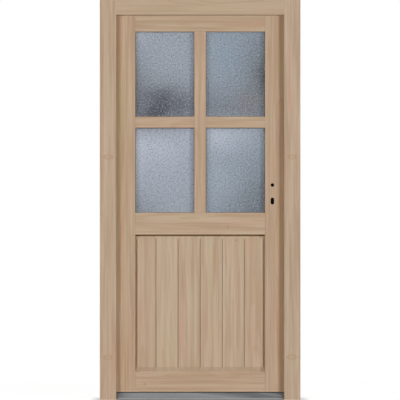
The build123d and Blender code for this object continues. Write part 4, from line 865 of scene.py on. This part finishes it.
def plate_screw_shape():
    """Two countersunk cross-head screws in a plate, one above the other."""
    shape = Shape("plate_screws", Middle="vector", Spread="float", Facing="vector", Head_radius="float",
                  Head_depth="float", Shank_radius="float", Shank_length="float", Drive_width="float",
                  Drive_length="float", Drive_depth="float", Seed="count", Finish="finish")
    head_depth, shank_length = shape.take("Head depth"), shape.take("Shank length")
    shank_radius = shape.take("Shank radius")
    wide, long = shape.take("Drive width"), shape.take("Drive length")
    deep = shape.take("Drive depth") * 2
    cone = shape.node("GeometryNodeMeshCone", {},
                      {"Vertices": HEAD_SIDES, "Radius Top": shape.take("Head radius"),
                       "Radius Bottom": shank_radius, "Depth": head_depth}, "Mesh")
    head = shape.moved(cone, shape.joined(0.0, 0.0, head_depth * -1))
    bars = [shape.node("GeometryNodeMeshCube", {}, {"Size": shape.joined(across, down, deep)}, "Mesh")
            for across, down in ((wide, long), (long, wide))]
    crossed = shape.node("GeometryNodeMeshBoolean", {"operation": "DIFFERENCE"},
                         {"Mesh 1": head, "Mesh 2": bars}, "Mesh")
    rod = shape.node("GeometryNodeMeshCylinder", {},
                     {"Vertices": SHANK_SIDES, "Radius": shank_radius, "Depth": shank_length}, "Mesh")
    shank = shape.moved(rod, shape.joined(0.0, 0.0, (head_depth + shank_length / 2) * -1))
    screw = shape.node("GeometryNodeJoinGeometry", {}, {"Geometry": [crossed, shank]})
    lift = shape.joined(0.0, 0.0, shape.take("Spread") / 2)
    seats = shape.node("GeometryNodeMeshLine", {"mode": "END_POINTS"},
                       {"Count": 2, "Start Location": shape.vectors("SUBTRACT", shape.take("Middle"), lift),
                        "Offset": shape.vectors("ADD", shape.take("Middle"), lift)})
    pair = shape.node("GeometryNodeInstanceOnPoints", {},
                      {"Points": seats, "Instance": screw, "Rotation": shape.take("Facing")})
    spin = shape.node("FunctionNodeRandomValue", {"data_type": "FLOAT"},
                      {"Max_001": math.pi / 2, "Seed": shape.take("Seed")}, "Value_001")
    shape.end(shape.node("GeometryNodeRotateInstances", {},
                         {"Instances": pair, "Rotation": shape.joined(0.0, 0.0, spin)}))
    return shape


plate_screws = plate_screw_shape()
screw_steel = plated_steel("screw_steel", shade(150, 147, 138), 0.42, 0.8)
for plate, body, side, turn in PLATES:
    low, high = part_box(plate)
    middle = (low + high) / 2
    middle.x = (low, high)[side].x - turn * SCREW_SINK
    spread = high.z - low.z - 2 * SCREW_FROM_END
    screws = plate_screws.make(plate + "_screws", None, Middle=middle, Spread=spread,
                               Facing=(0.0, turn * math.pi / 2, 0.0), Head_radius=SCREW_HEAD_RADIUS,
                               Head_depth=SCREW_HEAD_RADIUS - SCREW_RADIUS, Shank_radius=SCREW_RADIUS,
                               Shank_length=SCREW_LENGTH, Drive_width=DRIVE_WIDTH, Drive_length=DRIVE_LENGTH,
                               Drive_depth=DRIVE_DEPTH, Seed=FIRST_SCREW_SEED + side, Finish=screw_steel)
    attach(screws, body)


# Brads of the beads

BRAD_INSET = 0.009              # from the outer edge of the beads to the brads
BRAD_SPACING = 0.16
BRAD_RADIUS, BRAD_RISE = 0.0009, 0.0002
BRAD_SEGMENTS, BRAD_RINGS = 10, 6


def bead_brad_shape():
    """Brads with small domed heads, spaced along the beads."""
    shape = Shape("bead_brads", Spacing="float", Radius="float", Rise="float", Finish="finish")
    line = shape.node("GeometryNodeMeshToCurve", {}, {"Mesh": shape.take("Path")})
    spaced = shape.node("GeometryNodeResampleCurve", {"mode": "LENGTH"},
                        {"Curve": line, "Length": shape.take("Spacing")})
    radius = shape.take("Radius")
    ball = shape.node("GeometryNodeMeshUVSphere", {},
                      {"Segments": BRAD_SEGMENTS, "Rings": BRAD_RINGS, "Radius": radius}, "Mesh")
    share = shape.take("Rise") / radius
    dome = shape.node("GeometryNodeTransform", {}, {"Geometry": ball, "Scale": shape.joined(1.0, share, 1.0)})
    shape.end(shape.node("GeometryNodeInstanceOnPoints", {}, {"Points": spaced, "Instance": dome}))
    return shape


bead_brads = bead_brad_shape()
corners, edges = [], []
for beads in BEAD_SEEDS:
    low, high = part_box(beads)
    left, right = low.x + BRAD_INSET, high.x - BRAD_INSET
    down, up = low.z + BRAD_INSET, high.z - BRAD_INSET
    first = len(corners)
    corners += [(left, high.y, down), (right, high.y, down), (right, high.y, up), (left, high.y, up)]
    edges += [(first + step, first + (step + 1) % 4) for step in range(4)]
bead_lines = bpy.data.meshes.new("bead_lines")
bead_lines.from_pydata(corners, edges, [])
brads = bead_brads.make("bead_brads", bead_lines, Spacing=BRAD_SPACING, Radius=BRAD_RADIUS, Rise=BRAD_RISE,
                        Finish=plated_steel("brad_steel", shade(170, 166, 158), 0.4))
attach(brads, "leaf")


# Floor and backdrop

scene = bpy.context.scene
scene.view_settings.view_transform = "Standard"

FLOOR_HALF = 30.0
FLOOR_DARK, FLOOR_PALE, GRIT_CHANGES = (236, 236, 236), (240, 240, 240), 3.0
FLOOR_SHADOW = 0.2              # how much of the floor's look near the door is real light and shade
CLOSE_SHADOW, CLOSE_REACH = 0.4, 0.06    # how much more right beside the door, and how far out
FLOOR_GLOW = 1.17
FAR_RANGE = 0.9, 2.6            # from here to here the floor turns plain white
AMBIENT = 0.03
WHITE = 1.0, 1.0, 1.0, 1.0
SEEN_RAYS = ("Is Camera Ray", "Is Glossy Ray", "Is Transmission Ray")


def seen_directly(sheet):
    """One for rays from the camera, from gloss and through glass, nought for the light on the door."""
    path = sheet.node("ShaderNodeLightPath", {}, {}, SEEN_RAYS[0]).socket.node
    seen, glossy, through = [Wire(sheet, path.outputs[name]) for name in SEEN_RAYS]
    return sheet.maths("MINIMUM", seen + glossy + through, 1.0)


def studio_floor():
    """A pale floor that keeps the door's shadow and turns white away from it."""
    material = bpy.data.materials.new("studio_floor")
    material.use_nodes = True
    material.node_tree.nodes.clear()
    sheet = Sheet(material.node_tree)
    place = sheet.node("ShaderNodeTexCoord", {}, {}, "Object")
    x, y, _ = sheet.apart(place)
    grit = sheet.mottle(place, GRIT_CHANGES)
    lit = sheet.node("ShaderNodeBsdfDiffuse", {},
                     {"Color": sheet.mixed(grit, shade(*FLOOR_DARK), shade(*FLOOR_PALE))})
    white = sheet.node("ShaderNodeEmission", {}, {"Strength": 1.0})
    glow = sheet.node("ShaderNodeEmission", {}, {"Strength": FLOOR_GLOW})
    beside = sheet.maths("MAXIMUM", abs(x) - cad_high.x, abs(y) - cad_high.y)
    close = 1 - sheet.eased(beside, 0.0, CLOSE_REACH)
    shaded = sheet.node("ShaderNodeMixShader", {},
                        {0: (1 - FLOOR_SHADOW) - CLOSE_SHADOW * close, 1: lit, 2: glow})
    distance = sheet.node("ShaderNodeVectorMath", {"operation": "LENGTH"}, {0: place}, "Value")
    pale = sheet.node("ShaderNodeMixShader", {}, {0: sheet.eased(distance, *FAR_RANGE), 1: shaded, 2: white})
    look = sheet.node("ShaderNodeMixShader", {}, {0: seen_directly(sheet), 1: lit, 2: pale})
    sheet.node("ShaderNodeOutputMaterial", {}, {"Surface": look})
    return material


floor_mesh = bpy.data.meshes.new("studio_floor")
floor_mesh.from_pydata([(x, y, 0.0) for x, y in ((-FLOOR_HALF, -FLOOR_HALF), (FLOOR_HALF, -FLOOR_HALF),
                                                 (FLOOR_HALF, FLOOR_HALF), (-FLOOR_HALF, FLOOR_HALF))],
                       [], [(0, 1, 2, 3)])
floor = bpy.data.objects.new("studio_floor", floor_mesh)
scene.collection.objects.link(floor)
floor_mesh.materials.append(studio_floor())

world = bpy.data.worlds.new("studio")
scene.world = world
world.use_nodes = True
world.node_tree.nodes.clear()
backdrop = Sheet(world.node_tree)
direct = seen_directly(backdrop)
sky = backdrop.node("ShaderNodeBackground", {}, {"Color": WHITE, "Strength": direct + (1 - direct) * AMBIENT})
backdrop.node("ShaderNodeOutputWorld", {}, {"Surface": sky})


# Lamps

LAMPS = (                       # name, azimuth, elevation, width, height, share of the power
    ("left_softbox", -51.0, 6.0, 9.9, 7.3, 1.03),
    ("right_softbox", 55.0, 6.0, 6.4, 7.3, 1.3),
    ("top_softbox", 0.0, 50.0, 10.7, 7.3, 0.06),
    ("back_left_softbox", 222.0, 8.0, 10.7, 8.6, 0.85),
    ("back_right_softbox", 138.0, 8.0, 10.7, 8.6, 0.85),
)
LAMP_DISTANCE = 30.0
LAMP_POWER = 5070.0
door_middle = Vector((0.0, 0.0, (cad_low.z + cad_high.z) / 2))
for name, azimuth, elevation, width, height, share in LAMPS:
    turn, rise = math.radians(azimuth), math.radians(elevation)
    towards = Vector((math.sin(turn) * math.cos(rise), -math.cos(turn) * math.cos(rise), math.sin(rise)))
    softbox = bpy.data.lights.new(name, "AREA")
    softbox.shape = "RECTANGLE"
    softbox.size = width
    softbox.size_y = height
    softbox.energy = LAMP_POWER * share
    lamp = bpy.data.objects.new(name, softbox)
    lamp.location = door_middle + towards * LAMP_DISTANCE
    lamp.rotation_euler = towards.to_track_quat("Z", "Y").to_euler()
    scene.collection.objects.link(lamp)


# Camera

VIEW_DISTANCE = 10.0
VIEW_WIDTH = 1.9932             # what the picture shows of the door's front plane
VIEW_HEIGHT = 0.9964
VIEW_SHIFT = -0.0007            # the door stands a hair right of the picture's middle
SENSOR_WIDTH = 36.0
camera_data = bpy.data.cameras.new("front_view")
camera_data.sensor_width = SENSOR_WIDTH
camera_data.lens = SENSOR_WIDTH * VIEW_DISTANCE / VIEW_WIDTH
camera = bpy.data.objects.new("front_view", camera_data)
camera.location = (VIEW_SHIFT, cad_low.y - VIEW_DISTANCE, VIEW_HEIGHT)
camera.rotation_euler = (math.pi / 2, 0.0, 0.0)
scene.collection.objects.link(camera)
scene.camera = camera
